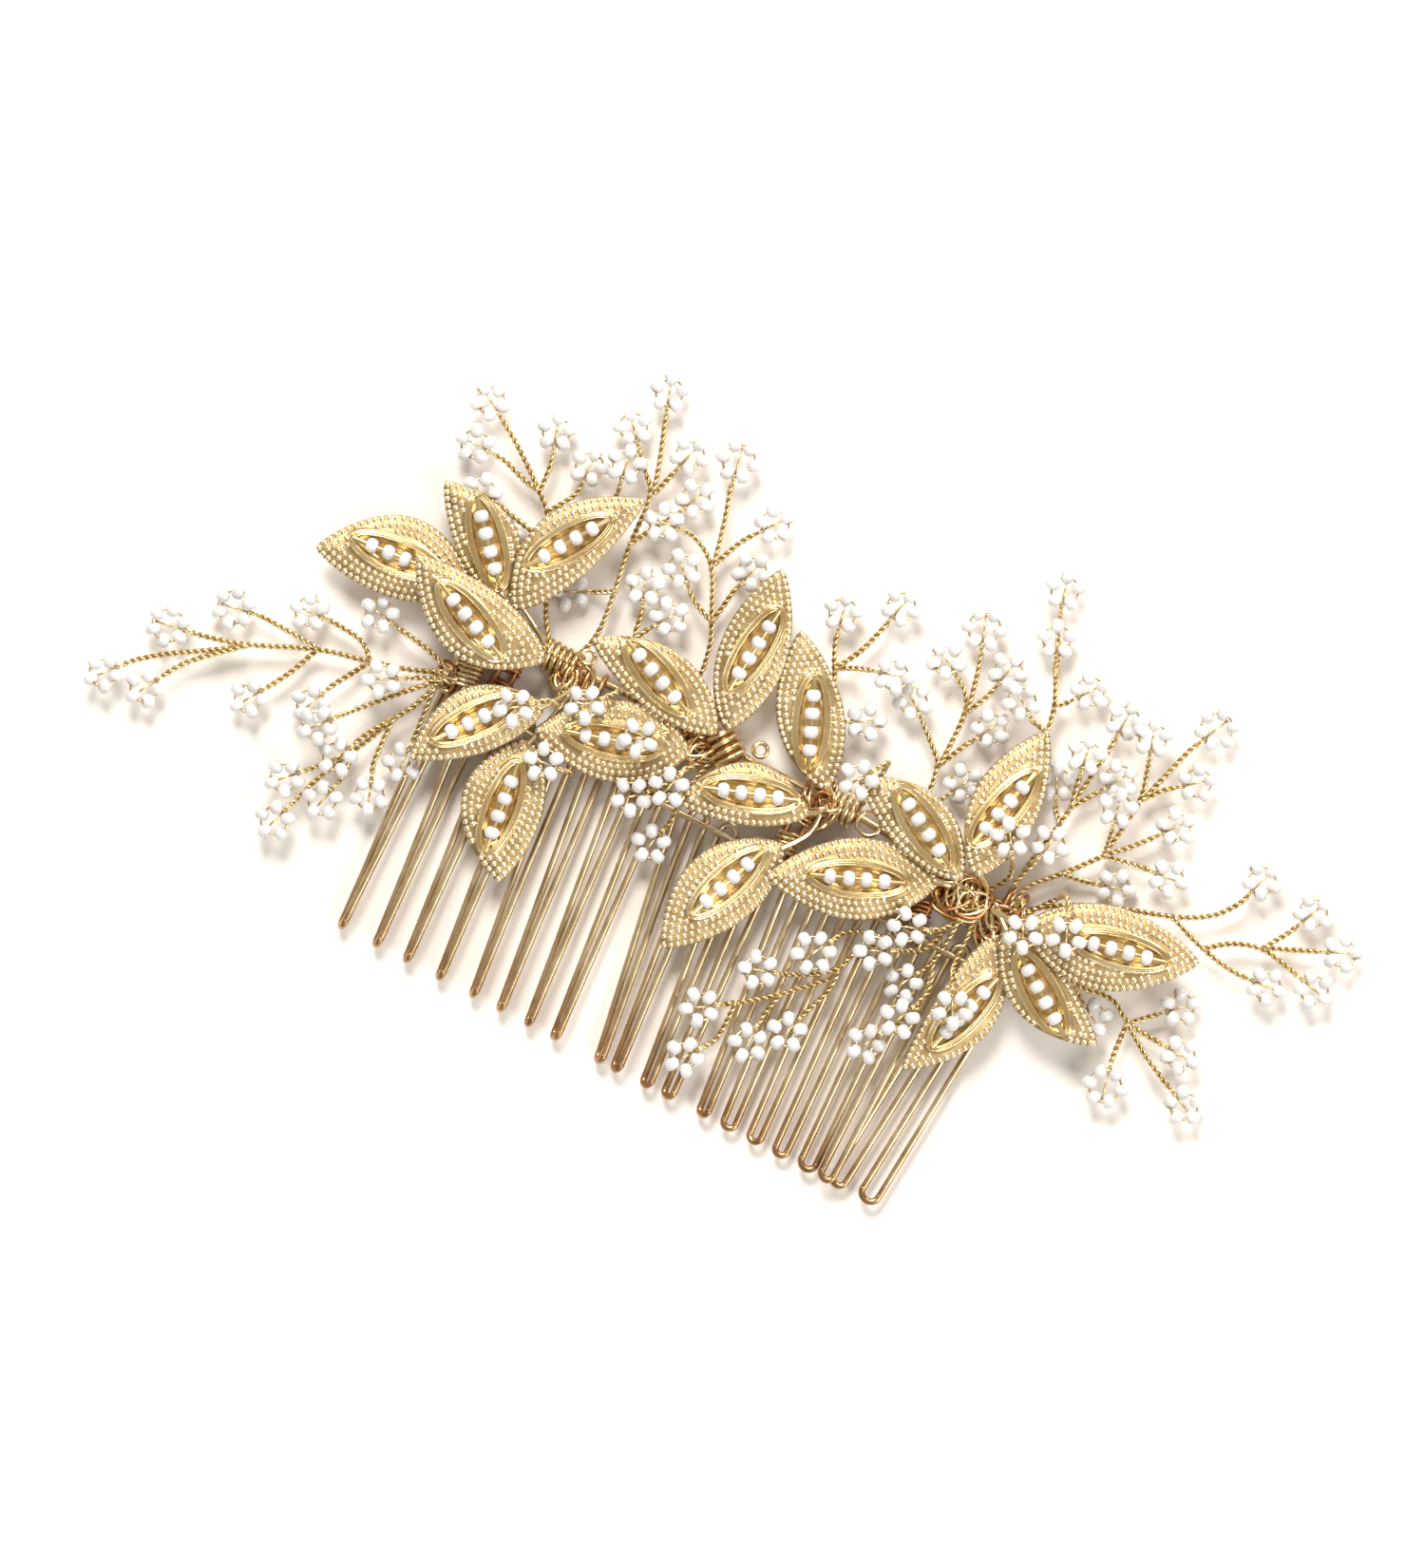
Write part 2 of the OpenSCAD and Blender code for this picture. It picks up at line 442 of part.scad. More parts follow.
comb_teeth();
spine(front_z);  // spine_front
spine(back_z);  // spine_back
backbone_wire();
tie_wires();
binding_left();
binding_middle_left();
binding_middle_right();
binding_right();
sprig(0);  // leaf_sprig_1
sprig(1);  // leaf_sprig_2
sprig(2);  // leaf_sprig_3
sprig(3);  // leaf_sprig_4
sprig(4);  // leaf_sprig_5
sprig(5);  // leaf_sprig_6
bead_wires(0);  // bead_wires_1
bead_wires(1);  // bead_wires_2
bead_wires(2);  // bead_wires_3
bead_wires(3);  // bead_wires_4
bead_wires(4);  // bead_wires_5
bead_wires(5);  // bead_wires_6
bead_row(0);  // bead_row_01
bead_row(1);  // bead_row_02
bead_row(2);  // bead_row_03
bead_row(3);  // bead_row_04
bead_row(4);  // bead_row_05
bead_row(5);  // bead_row_06
bead_row(6);  // bead_row_07
bead_row(7);  // bead_row_08
bead_row(8);  // bead_row_09
bead_row(9);  // bead_row_10
bead_row(10);  // bead_row_11
bead_row(11);  // bead_row_12
bead_row(12);  // bead_row_13
bead_row(13);  // bead_row_14
bead_row(14);  // bead_row_15
bead_row(15);  // bead_row_16
bead_row(16);  // bead_row_17
bead_row(17);  // bead_row_18
spray(far_left, spray_z);  // spray_far_left
spray(left_low, over_z);  // spray_left_low
spray(left_top, spray_z);  // spray_left_top
spray(top_left, spray_z);  // spray_top_left
spray(top_mid, spray_z);  // spray_top_mid
spray(top_right, spray_z);  // spray_top_right
spray(right_top, spray_z);  // spray_right_top
spray(far_right, spray_z);  // spray_far_right
spray(right_low, over_z);  // spray_right_low
spray(left_front, over_z);  // spray_left_front
flowers(far_left, spray_z);  // flowers_far_left
flowers(left_low, over_z);  // flowers_left_low
flowers(left_top, spray_z);  // flowers_left_top
flowers(top_left, spray_z);  // flowers_top_left
flowers(top_mid, spray_z);  // flowers_top_mid
flowers(top_right, spray_z);  // flowers_top_right
flowers(right_top, spray_z);  // flowers_right_top
flowers(far_right, spray_z);  // flowers_far_right
flowers(right_low, over_z);  // flowers_right_low
flowers(left_front, over_z);  // flowers_left_front
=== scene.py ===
# Looks of the bridal hair comb: stamped leaves with milled grains, two-strand twisted wire,
# seed beads, wound bindings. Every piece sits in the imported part's frame.
import json
import math

import bpy
import numpy as np
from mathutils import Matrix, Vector

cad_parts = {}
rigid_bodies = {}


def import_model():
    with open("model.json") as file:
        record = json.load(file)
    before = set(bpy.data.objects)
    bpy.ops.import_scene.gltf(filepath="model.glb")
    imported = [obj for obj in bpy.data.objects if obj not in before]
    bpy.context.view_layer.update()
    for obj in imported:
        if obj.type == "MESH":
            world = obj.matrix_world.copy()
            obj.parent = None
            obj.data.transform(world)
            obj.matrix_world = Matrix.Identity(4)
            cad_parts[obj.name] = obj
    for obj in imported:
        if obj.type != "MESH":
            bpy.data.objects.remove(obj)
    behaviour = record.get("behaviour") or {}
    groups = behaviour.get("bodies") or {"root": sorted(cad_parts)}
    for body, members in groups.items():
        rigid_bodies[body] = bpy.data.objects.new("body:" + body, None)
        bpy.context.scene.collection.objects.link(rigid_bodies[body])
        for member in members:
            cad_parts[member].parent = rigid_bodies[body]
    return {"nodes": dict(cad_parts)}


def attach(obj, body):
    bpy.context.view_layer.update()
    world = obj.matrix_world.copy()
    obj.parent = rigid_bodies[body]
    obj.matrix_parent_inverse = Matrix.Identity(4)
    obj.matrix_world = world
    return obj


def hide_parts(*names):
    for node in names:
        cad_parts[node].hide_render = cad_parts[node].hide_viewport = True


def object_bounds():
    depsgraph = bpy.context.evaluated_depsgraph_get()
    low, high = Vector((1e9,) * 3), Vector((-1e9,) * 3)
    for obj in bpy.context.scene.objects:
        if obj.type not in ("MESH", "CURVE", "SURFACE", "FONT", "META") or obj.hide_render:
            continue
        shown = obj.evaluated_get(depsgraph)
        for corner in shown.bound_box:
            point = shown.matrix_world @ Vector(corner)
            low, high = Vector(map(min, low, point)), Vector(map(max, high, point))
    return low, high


for o in list(bpy.data.objects):
    bpy.data.objects.remove(o)
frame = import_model()
cad_lo, cad_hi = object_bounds()
MM = 0.001
ORIGIN = np.array([1.8, -8.0, 0.0])  # layout (middle of the spine) to the part's frame, mm
rng = np.random.default_rng(7)

# ---- camera: straight above, rolled so that the comb lies aslant ----
camera = bpy.data.objects.new("camera", bpy.data.cameras.new("camera"))
bpy.context.scene.collection.objects.link(camera)
bpy.context.scene.camera = camera
camera.data.lens = 200
camera.data.sensor_width = 36
camera.data.clip_start, camera.data.clip_end = 0.05, 20
camera.location = (-2.8 * MM, -3.4 * MM, 1.106)
camera.rotation_euler = (0, 0, math.radians(27.6))

# ---- layout, in mm, the same lists as the part's ----
LEAVES = [
  [[-43, 12.5], 193, 20.5, 10.5, -1.5, -8, 0, 4.2, 0],
  [[-38, 12.5], 144, 17.7, 8, -1.4, -12, -0.5, 4.2, 3],
  [[-37.2, 12.5], 67, 21.7, 8.8, 2, -10, 0, 5.2, 4],
  [[-30.5, 8.5], 168, 21, 9.5, 2, -11, 0, 6.8, 1],
  [[-28, 3.5], 229, 18.3, 8.5, -1.5, 4, -0.5, 5.5, 2],
  [[-28, -1], 286, 18.7, 10.5, -1.5, -9, 0, 4.2, 1],
  [[-9, 7], 200, 20, 10.5, 0, -4, 0, 4.2, 3],
  [[-7, 10.5], 170.5, 20, 8, -1.2, -13, 0.5, 5.4, 2],
  [[-6.3, 11.5], 98, 21.7, 8.7, 0, -13, 0, 4.4, 7],
  [[8.5, 10.5], 126.5, 20.5, 8.6, 0.5, -13, -1.5, 4.4, 1],
  [[8, 7], 202.5, 17, 8, -1.8, -3, -0.8, 5.5, 1],
  [[7, 2], 247.5, 20.3, 10, -1, 2, -1.5, 4.2, 1],
  [[26.5, 7], 206, 21.9, 10.5, 0, -4, -0.5, 4.2, 3],
  [[29, 8.5], 163, 18.5, 8, -1.3, -12, -1, 5.4, 2],
  [[30.2, 9.5], 91, 20.8, 8.7, 0.6, -15, -1, 6.4, -4],
  [[38.5, 6.8], 16, 22.7, 10.8, -0.5, -3, 1.2, 6.8, 1],
  [[36.5, 5.5], -24, 18.9, 7.5, -1.5, -10, 0, 5.4, 1],
  [[36.3, 4.5], 262, 21, 8, 2.2, -8, 0, 4.2, 0]]
SPRIG_STEMS = [
  [[[-44, 12.4, 4.2], [-42, 12.4, 3.6], [-37, 12.2, 3.6], [-33.5, 11.8, 3.6],
    [-31.3, 10, 3.1], [-29.9, 10, 2.9]], [[-39, 13.3, 4.2], [-37, 12.2, 3.6]],
   [[-36.8, 13.6, 5.2], [-33.5, 11.8, 3.6]]],
  [[[-31.2, 8.6, 7.6], [-31.6, 8.7, 5], [-31.2, 8.9, 3.1], [-29.9, 8.9, 2.9]],
   [[-28.6, 2.8, 6.3], [-25.9, 6.2, 4.8], [-25.9, 9.2, 3.3], [-27.4, 9.5, 3]],
   [[-27.6, -2, 5], [-26.4, 3, 4.6], [-25.9, 6.2, 4.8]]],
  [[[-9.8, 6.7, 5], [-9.4, 8.4, 3.8], [-9, 9.3, 3.1], [-7.2, 9.4, 2.9]],
   [[-7.7, 10.6, 6.2], [-9.4, 10.4, 4.6], [-9, 9.3, 3.1]],
   [[-6.5, 12.4, 5.2], [-8.6, 12, 4], [-9.4, 10.4, 4.6]]],
  [[[7.9, 11.2, 5.2], [9.2, 10.6, 4], [9.5, 9.7, 3.1], [10.8, 9.6, 2.9]],
   [[7.3, 6.7, 6.3], [9.3, 7.6, 4.8], [9.5, 9.7, 3.1]],
   [[6.8, 1.3, 5], [9.3, 4.5, 4.6], [9.3, 7.6, 4.8]]],
  [[[25.8, 6.7, 5], [28.3, 7.2, 4.8], [28.3, 7.5, 3.2], [29.4, 7.6, 2.9]],
   [[30.2, 10.4, 7.1], [32.6, 9, 4.6], [32.7, 8.1, 3.1], [31.5, 8.1, 2.9]],
   [[28.2, 8.7, 6.2], [28.3, 7.2, 4.8]]],
  [[[39.2, 7, 7.6], [36.4, 6.8, 6], [34, 6.8, 4.5], [32.8, 7, 3.1], [31.5, 7, 2.9]],
   [[37, 5.3, 6.2], [35.2, 6.8, 5.25]],
   [[36.2, 3.6, 5], [35, 5.2, 4.4], [34, 6.8, 4.5]]]]
FAR_LEFT = [
  [[[-41, 1.5], [-45, -0.3], [-50.2, -1.8], [-56.8, -3.3], [-65, -7.2], [-70, -8.6]],
    [-75, -9.5, 0, 6]],
  [[[-50.2, -1.8], [-52, 0.2], [-56.5, 0.5]], [-60, 0.3]],
  [[[-50.2, -1.8], [-53, -6.5]], [-54.4, -10]],
  [[[-56.8, -3.3], [-65, -3]], [-68.7, -3.7, 0, 6]],
  [[[-56.8, -3.3], [-58.6, -8]], [-61.7, -13]],
  [[[-65, -7.2], [-70, -11.7], [-71.8, -14]], [-74, -18]],
  [[[-65, -7.2], [-69, -10], [-73.8, -13], [-76.8, -15.4]], [-79.5, -18.7]]]
LEFT_LOW = [
  [[[-41, 0.5], [-45, -3.5], [-49, -8]], [-52.3, -12, 3.2]],
  [[[-41, 0.5], [-44, -0.8]], [-47.8, -3, 1.5]],
  [[[-41, 1.8], [-44, 3], [-48, 3.5]], [-52, 4.2, -0.8]],
  [[[-41.5, -0.8], [-42.5, -4], [-44.2, -6.6], [-46.8, -13, -1.2], [-50, -16.6, -1]], [-53, -19.8]],
  [[[-44.2, -6.6], [-44, -12.6]], [-42.4, -16.8]],
  [[[-46.8, -13, -1.2], [-46.4, -16, -1]], [-47.4, -20.2]],
  [[[-44.2, -6.6], [-46, -9.5, 0.4]], [-48.3, -14.4, 1]],
  [[[-46.8, -13, -1.2], [-49.4, -18, -1.4], [-50.2, -21, -1.4]], [-51.6, -25.2]],
  [[[-41.5, -0.8], [-40.8, -7]], [-40.6, -11.2]]]
LEFT_TOP = [
  [[[-33, 13], [-36, 20], [-39, 25.5], [-41.2, 27.3], [-46, 31]], [-52, 34.6]],
  [[[-41.2, 27.3], [-43.5, 27.6], [-47, 28.8]], [-51.2, 28.8]],
  [[[-41.2, 27.3], [-41.4, 30.8]], [-42.8, 35]],
  [[[-36, 20], [-38, 22], [-43, 23]], [-47.6, 23.8]],
  [[[-36, 20], [-38.2, 20.4, -0.8]], [-42.2, 20.2, -1.4]],
  [[[-39, 25.5], [-36.8, 29]], [-37, 33]],
  [[[-36, 20], [-33.4, 27], [-32.2, 31]], [-33, 35.4, 1.4]]]
TOP_LEFT = [
  [[[-26, 13.5], [-26.8, 20.5], [-28, 26.5], [-28.2, 33.7], [-31, 36.2]], [-34.4, 40]],
  [[[-28.2, 33.7], [-29.5, 38], [-31, 42]], [-32.4, 46]],
  [[[-28.2, 33.7], [-27.4, 36.5]], [-26.4, 40.2]],
  [[[-28, 26.5], [-25.8, 30.5], [-24.6, 32.4]], [-23.2, 35.6]],
  [[[-26.8, 20.5], [-28.4, 19.6, -0.6]], [-32, 17.8, -1.4]],
  [[[-22, 16], [-22.4, 19]], [-23.8, 22.8]],
  [[[-22, 16], [-21, 18]], [-19.2, 20.8]]]
TOP_MID = [
  [[[-12, 15], [-13, 20.5], [-14.2, 22.7], [-17.3, 29.3], [-21, 31.4]], [-25.4, 31, 1.4]],
  [[[-17.3, 29.3], [-18.5, 34.5], [-19.8, 38.4]], [-20.6, 42.4, 0, 6]],
  [[[-17.3, 29.3], [-15.6, 33.6]], [-12.8, 37.4]],
  [[[-14.2, 22.7], [-17.5, 24]], [-20.6, 27]],
  [[[-14.2, 22.7], [-13.6, 27]], [-12.6, 30.8]],
  [[[8.4, 12.4], [5.6, 18.5], [2.3, 24.7], [0.9, 27.6]], [0, 31.5]],
  [[[2.3, 24.7], [4.3, 28], [5.3, 31.6]], [6.2, 35.6]],
  [[[2.3, 24.7], [5, 26.2, 1]], [9.4, 27.4, 2.2]],
  [[[5.6, 18.5], [5.9, 19]], [9, 20.6, 0]]]
TOP_RIGHT = [
  [[[20.5, 14], [19.8, 20], [18.3, 21.4], [16.2, 23.2]], [13, 25.7]],
  [[[19.8, 20], [19.8, 27.7], [18.2, 30]], [14.4, 32.2]],
  [[[19.8, 27.7], [18.6, 33]], [16.8, 38, 0, 6]],
  [[[19.8, 27.7], [21.2, 30.6]], [22, 34.6]],
  [[[20.5, 14], [21.6, 15.6]], [23.6, 19.4]],
  [[[19.8, 20], [21.2, 23.2]], [23.4, 27.2]],
  [[[30, 30], [29.3, 33.5], [27.7, 36.7], [27, 38]], [25.6, 41]],
  [[[30, 30], [27.6, 30.4]], [25.2, 32, 2.2]],
  [[[27.7, 36.7], [26.8, 39, -1.4], [24.6, 43.6, -1.4]], [23.6, 47]],
  [[[29.3, 33.5], [30.2, 34.2]], [32.4, 37.2]],
  [[[30, 12], [30, 22], [30, 30]], []]]
RIGHT_TOP = [
  [[[35, 11], [36.8, 20.5], [37, 23], [37.6, 29], [38, 32]], [38, 36]],
  [[[37, 23], [36.3, 26, 1]], [35.6, 29.8, 1.5]],
  [[[36.8, 20.5], [35.6, 21.6, -0.8]], [34, 25, -1.4]],
  [[[37, 23], [38.6, 25.4]], [40.8, 29]],
  [[[36, 11], [40, 15], [43.5, 19.5], [46.6, 22.6]], [50, 27]],
  [[[43.5, 19.5], [44.6, 28], [43.4, 31.4, 1]], [42, 35.6, 2.2]],
  [[[44.6, 28], [46, 33], [47, 36.4]], [48.8, 40.4, 0, 6]],
  [[[44.6, 28], [46.2, 30.2]], [49.8, 33.2]],
  [[[43.5, 19.5], [43.1, 21.8, 1.4]], [42.2, 25.6, 2.2]],
  [[[40, 15], [42.6, 15.4, -0.8]], [46.8, 16.6, -1.4]],
  [[[43.5, 19.5], [48, 20.4]], [52.2, 20.8]],
  [[[34.4, 11], [33.8, 13, 2]], [31.8, 16, 5.6]],
  [[[35, 11], [35.8, 13.6, 1]], [36.8, 17.6, 1.8]]]
FAR_RIGHT = [
  [[[38, 9], [43, 12.3], [48, 14.5], [55, 16.6], [59.4, 19], [61.6, 22]], [62.8, 26]],
  [[[55, 16.6], [60, 14.8], [65, 14]], [69.5, 14.4]],
  [[[60, 14.8], [63, 17.3], [66.8, 18.5], [70.2, 17.9]], [75, 16.8]],
  [[[66.8, 18.5], [68.8, 21.6]], [70.4, 25.4]],
  [[[66.8, 18.5], [71.2, 20.4]], [76, 22.6]],
  [[[48, 3], [52.8, 4.3], [56, 2], [60, 1.8]], [63.9, 1.6]],
  [[[56, 2], [60, -0.6], [63, -2]], [67.2, -3.9]],
  [[[56, 2], [56.3, -2.4]], [57.2, -6.3, 0, 6]],
  [[[56, 2], [58, 4]], [61, 7]],
  [[[48, 3], [48.6, 2.6]], [51.8, 0.6]],
  [[[40.8, 12, 0.6], [41.4, 12.9, 5], [42.2, 12.2, 6.3]], [43.8, 8.2, 6.6]],
  [[[36.5, 9.6], [37, 9.8, 4.6]], [38.8, 6, 5.8]],
  [[[13.4, 12], [14, 17.4, 1], [13.6, 17, 4.6]], [11.4, 13.6, 5]]]
RIGHT_LOW = [
  [[[31, 4], [30, 2, 0.5], [25, -2.2, 0.5], [20.4, -3.4], [18.8, -4.4]],
    [16.6, -8.4, 0.8, 6]],
  [[[30, 2, 0.5], [28.8, 1.2, 1.6]], [25.6, 0, 2.4]],
  [[[30, 2, 0.5], [29, -1.8, 0.6], [27, -2.6, 1.4]], [23.2, -4.6, 2.7]],
  [[[31, 4], [31, 1, 0.6], [30.6, -2.6]], [28.4, -6.6]],
  [[[30.6, -2.6], [32, -6, 1]], [30, -10.8, 2.2]],
  [[[30.6, -2.6], [32, -8], [30.2, -11.6]], [27.8, -15.6]],
  [[[33, 4], [33, -1.6, 0.6], [33.4, -2.6, 2.6]], [35.4, -6.6, 3.8]],
  [[[25, -2.2, 0.5], [21, -6, -0.6], [20.6, -9, -0.6], [16, -12, -0.6]], [11.4, -13.6]],
  [[[20.6, -9, -0.6], [20.6, -12, -0.2], [19.4, -15]], [18.3, -18.9]],
  [[[20, -10.4, -0.8], [15.4, -15], [10.8, -18.6]], [7, -21.2]],
  [[[10.8, -18.6], [11, -23.6]], [8.2, -27.7, 0.4]],
  [[[15.4, -15], [14.6, -18]], [14.6, -22.4]]]
LEFT_FRONT = [
  [[[-26, 4, 1.4], [-27.6, 4.6, 4.2]], [-31.3, 1.5, 5.3]],
  [[[-21, 9.6], [-20.4, 9.4, 2.6]], [-23.6, 6, 3.8]],
  [[[-12.6, 8, 2.4], [-12.4, 7.6, 4]], [-15.6, 5.4, 4.5]],
  [[[-21, -2.5, 0], [-21, -2.5, 2]], [-24.8, -2.9, 3.4]],
  [[[-9.4, 3.4, 0.2], [-10, 1.2, 0.8]], [-13, -1.6, 2.8]],
  [[[-7.4, 2, 0.2], [-7, -1.8]], [-8, -5.8]],
  [[[-8.6, 4.2, 0.2], [-8.4, 5, 3.4]], [-9.3, 1.6, 4.2]]]
SPRAYS = {
    "far_left": (FAR_LEFT, 3.0), "left_low": (LEFT_LOW, 3.8), "left_top": (LEFT_TOP, 3.0),
    "top_left": (TOP_LEFT, 3.0), "top_mid": (TOP_MID, 3.0), "top_right": (TOP_RIGHT, 3.0),
    "right_top": (RIGHT_TOP, 3.0), "far_right": (FAR_RIGHT, 3.0), "right_low": (RIGHT_LOW, 3.8),
    "left_front": (LEFT_FRONT, 3.8)}
TIE_X = [-39.4, -37.4, -35.3, -33.2, -24.9, -22.8, -12.5, -10.4, 6.2, 8.3, 24.9, 27, 35.3, 37.4]
DISH_L, DISH_W = 11.2, 3.1  # the dish in a leaf
ROW_Z, BEAD_PITCH = 1.35, 2.3  # height of a bead row over its leaf's foot, and its spacing
STRAND_D, TWIST_D, TWIST_PITCH = 0.36, 0.8, 1.8  # a strand, the pair it makes, one full lay
GRAIN_R, GRAIN_STEP, ROW_STEP = 0.42, 0.86, 0.86  # milgrain, along a row and between rows
STEM_D, STEM_THINNER = 0.9, 0.12  # a sprig's first stem, and how much thinner each next one is
RING_WIRE_R = 0.15  # the ring that a flower's beads are threaded on
TIE_TOP, TIE_R = 3.3, 0.35  # the tie wires' highest level, and their wire's radius
TANGLE_R = 0.24
MIX_A, MIX_B, MIX_RESULT = 6, 7, 2  # the colour sockets of a Mix node


# ---- materials ----
def material(name):
    m = bpy.data.materials.new(name)
    m.use_nodes = True
    nt = m.node_tree
    return m, nt, nt.nodes["Principled BSDF"]


def node(nt, kind, **values):
    """A shader node, with its sockets or properties set."""
    n = nt.nodes.new(kind)
    for k, v in values.items():
        if k in n.inputs.keys():
            n.inputs[k].default_value = v
        else:
            setattr(n, k, v)
    return n


def ramp(nt, fac, stops):
    """Colours at the given positions of a value."""
    r = nt.nodes.new("ShaderNodeValToRGB")
    e = r.color_ramp.elements
    while len(e) < len(stops):
        e.new(0.5)
    for k, (at, colour) in enumerate(stops):
        e[k].position = at
        e[k].color = (*colour, 1)
    nt.links.new(fac, r.inputs["Fac"])
    return r.outputs["Color"]


def noise(nt, scale, detail=3, rough=0.55):
    c = nt.nodes.new("ShaderNodeTexCoord")
    n = node(nt, "ShaderNodeTexNoise", Scale=scale, Detail=detail, Roughness=rough)
    nt.links.new(c.outputs["Object"], n.inputs["Vector"])
    return n.outputs["Fac"]


def bump(nt, bsdf, height, strength, distance):
    """Relief in the shading, with distance in metres."""
    b = node(nt, "ShaderNodeBump", Strength=strength, Distance=distance)
    nt.links.new(height, b.inputs["Height"])
    nt.links.new(b.outputs["Normal"], bsdf.inputs["Normal"])


def metal(name, stops, rough, scale, bump_scale=2600, bump_strength=0.15):
    """A metal with mottled colour and uneven polish; rough is its lowest and highest roughness."""
    m, nt, b = material(name)
    nt.links.new(ramp(nt, noise(nt, scale), stops), b.inputs["Base Color"])
    b.inputs["Metallic"].default_value = 1.0
    r = node(nt, "ShaderNodeMapRange")
    r.inputs["To Min"].default_value = rough[0]
    r.inputs["To Max"].default_value = rough[1]
    nt.links.new(noise(nt, scale * 3, 2), r.inputs["Value"])
    nt.links.new(r.outputs["Result"], b.inputs["Roughness"])
    bump(nt, b, noise(nt, bump_scale, 4), bump_strength, 0.00004)
    return m


M_GRAIN = metal("milled_gold", [(0.25, (0.84, 0.69, 0.43)), (0.55, (0.92, 0.79, 0.55)),
                                (0.8, (0.97, 0.87, 0.66))], (0.2, 0.36), 220)
# dark brown for the leaf border round and between the grains: painted shade standing in for the
# shade in the crevices
M_PIT_SHADE = metal("gold_painted_pit_shade", [(0.25, (0.32, 0.21, 0.09)), (0.55, (0.52, 0.37, 0.18)),
                                (0.8, (0.68, 0.53, 0.30))], (0.4, 0.6), 420, 1800, 0.3)
# near-black brown for the core inside twisted wire: painted shade in the groove between the strands
M_GROOVE_SHADE = metal("wire_groove_painted_shade", [(0.3, (0.16, 0.09, 0.03)), (0.7, (0.34, 0.22, 0.09))],
               (0.5, 0.7), 500)
M_DISH = metal("polished_gold", [(0.25, (0.80, 0.60, 0.32)), (0.55, (0.90, 0.73, 0.44)),
                                 (0.8, (0.96, 0.85, 0.60))], (0.16, 0.3), 160, 1500, 0.12)
M_WIRE = metal("twisted_gold_wire", [(0.25, (0.56, 0.39, 0.16)), (0.5, (0.76, 0.58, 0.29)),
                                     (0.8, (0.90, 0.75, 0.45))], (0.22, 0.38), 300)
M_WOUND = metal("wound_gold_wire", [(0.25, (0.60, 0.41, 0.18)), (0.5, (0.82, 0.63, 0.34)),
                                    (0.8, (0.95, 0.82, 0.54))], (0.18, 0.32), 240)
# dark copper-brown for under-windings, ties and some loose turns: painted shade on windings that
# lie in shadow
M_DARK_WIRE_SHADE = metal("dark_wire_painted_shade", [(0.25, (0.22, 0.09, 0.03)), (0.5, (0.46, 0.21, 0.08)),
                                     (0.8, (0.74, 0.46, 0.22))], (0.26, 0.44), 380)


def comb_metal():
    """Brass-coloured tooth wire, browner towards the tips and along worn stretches."""
    m, nt, b = material("comb_wire")
    c = nt.nodes.new("ShaderNodeTexCoord")
    sep = nt.nodes.new("ShaderNodeSeparateXYZ")
    nt.links.new(c.outputs["Object"], sep.inputs["Vector"])
    reach = node(nt, "ShaderNodeMapRange")
    reach.inputs["From Min"].default_value = float(cad_lo.y) + 0.010
    reach.inputs["From Max"].default_value = float(cad_lo.y)
    nt.links.new(sep.outputs["Y"], reach.inputs["Value"])
    bright = ramp(nt, noise(nt, 180), [(0.25, (0.46, 0.32, 0.16)), (0.5, (0.70, 0.55, 0.33)),
                                       (0.8, (0.92, 0.81, 0.60))])
    dark = ramp(nt, noise(nt, 400), [(0.3, (0.30, 0.15, 0.06)), (0.7, (0.62, 0.38, 0.18))])
    mix = node(nt, "ShaderNodeMix", data_type="RGBA")
    nt.links.new(reach.outputs["Result"], mix.inputs["Factor"])
    nt.links.new(bright, mix.inputs[MIX_A])
    nt.links.new(dark, mix.inputs[MIX_B])
    nt.links.new(mix.outputs[MIX_RESULT], b.inputs["Base Color"])
    b.inputs["Metallic"].default_value = 1
    r = node(nt, "ShaderNodeMapRange")
    r.inputs["To Min"].default_value, r.inputs["To Max"].default_value = 0.2, 0.4
    nt.links.new(noise(nt, 600, 2), r.inputs["Value"])
    nt.links.new(r.outputs["Result"], b.inputs["Roughness"])
    bump(nt, b, noise(nt, 2200, 4), 0.2, 0.00005)
    return m


M_COMB = comb_metal()


def pearl():
    m, nt, b = material("seed_bead_glass")
    nt.links.new(ramp(nt, noise(nt, 330, 2), [(0.3, (0.66, 0.63, 0.60)), (0.55, (0.78, 0.76, 0.74)),
                                              (0.8, (0.87, 0.86, 0.85))]), b.inputs["Base Color"])
    b.inputs["Roughness"].default_value = 0.2
    b.inputs["IOR"].default_value = 1.5
    b.inputs["Coat Weight"].default_value = 0.6
    b.inputs["Coat Roughness"].default_value = 0.08
    b.inputs["Subsurface Weight"].default_value = 0.25
    b.inputs["Subsurface Radius"].default_value = (0.6, 0.45, 0.4)
    b.inputs["Subsurface Scale"].default_value = 0.001
    bump(nt, b, noise(nt, 900, 3), 0.08, 0.00006)
    return m


M_BEAD = pearl()


# ---- mesh code ----
class Shape:
    """Vertices in mm in the layout, and faces, which become one piece."""

    def __init__(self):
        self.v, self.f, self.m, self.n = [], [], [], 0

    def add(self, verts, faces, mat=0):
        self.v.append(np.asarray(verts, float))
        faces = np.asarray(faces) + self.n
        self.f.extend(faces.tolist())
        self.m.extend([mat] * len(faces) if np.isscalar(mat) else list(mat))
        self.n += len(verts)

    def piece(self, name, body, mats, replaces, slot):
        mesh = bpy.data.meshes.new(name)
        mesh.from_pydata(((np.vstack(self.v) + ORIGIN) * MM).tolist(), [], self.f)
        for m in mats:
            mesh.materials.append(m)
        mesh.polygons.foreach_set("material_index", np.array(self.m, np.int32))
        mesh.polygons.foreach_set("use_smooth", np.ones(len(self.f), bool))
        mesh.update()
        o = bpy.data.objects.new(name, mesh)
        bpy.context.scene.collection.objects.link(o)
        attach(o, body)
        if replaces:
            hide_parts(*replaces)


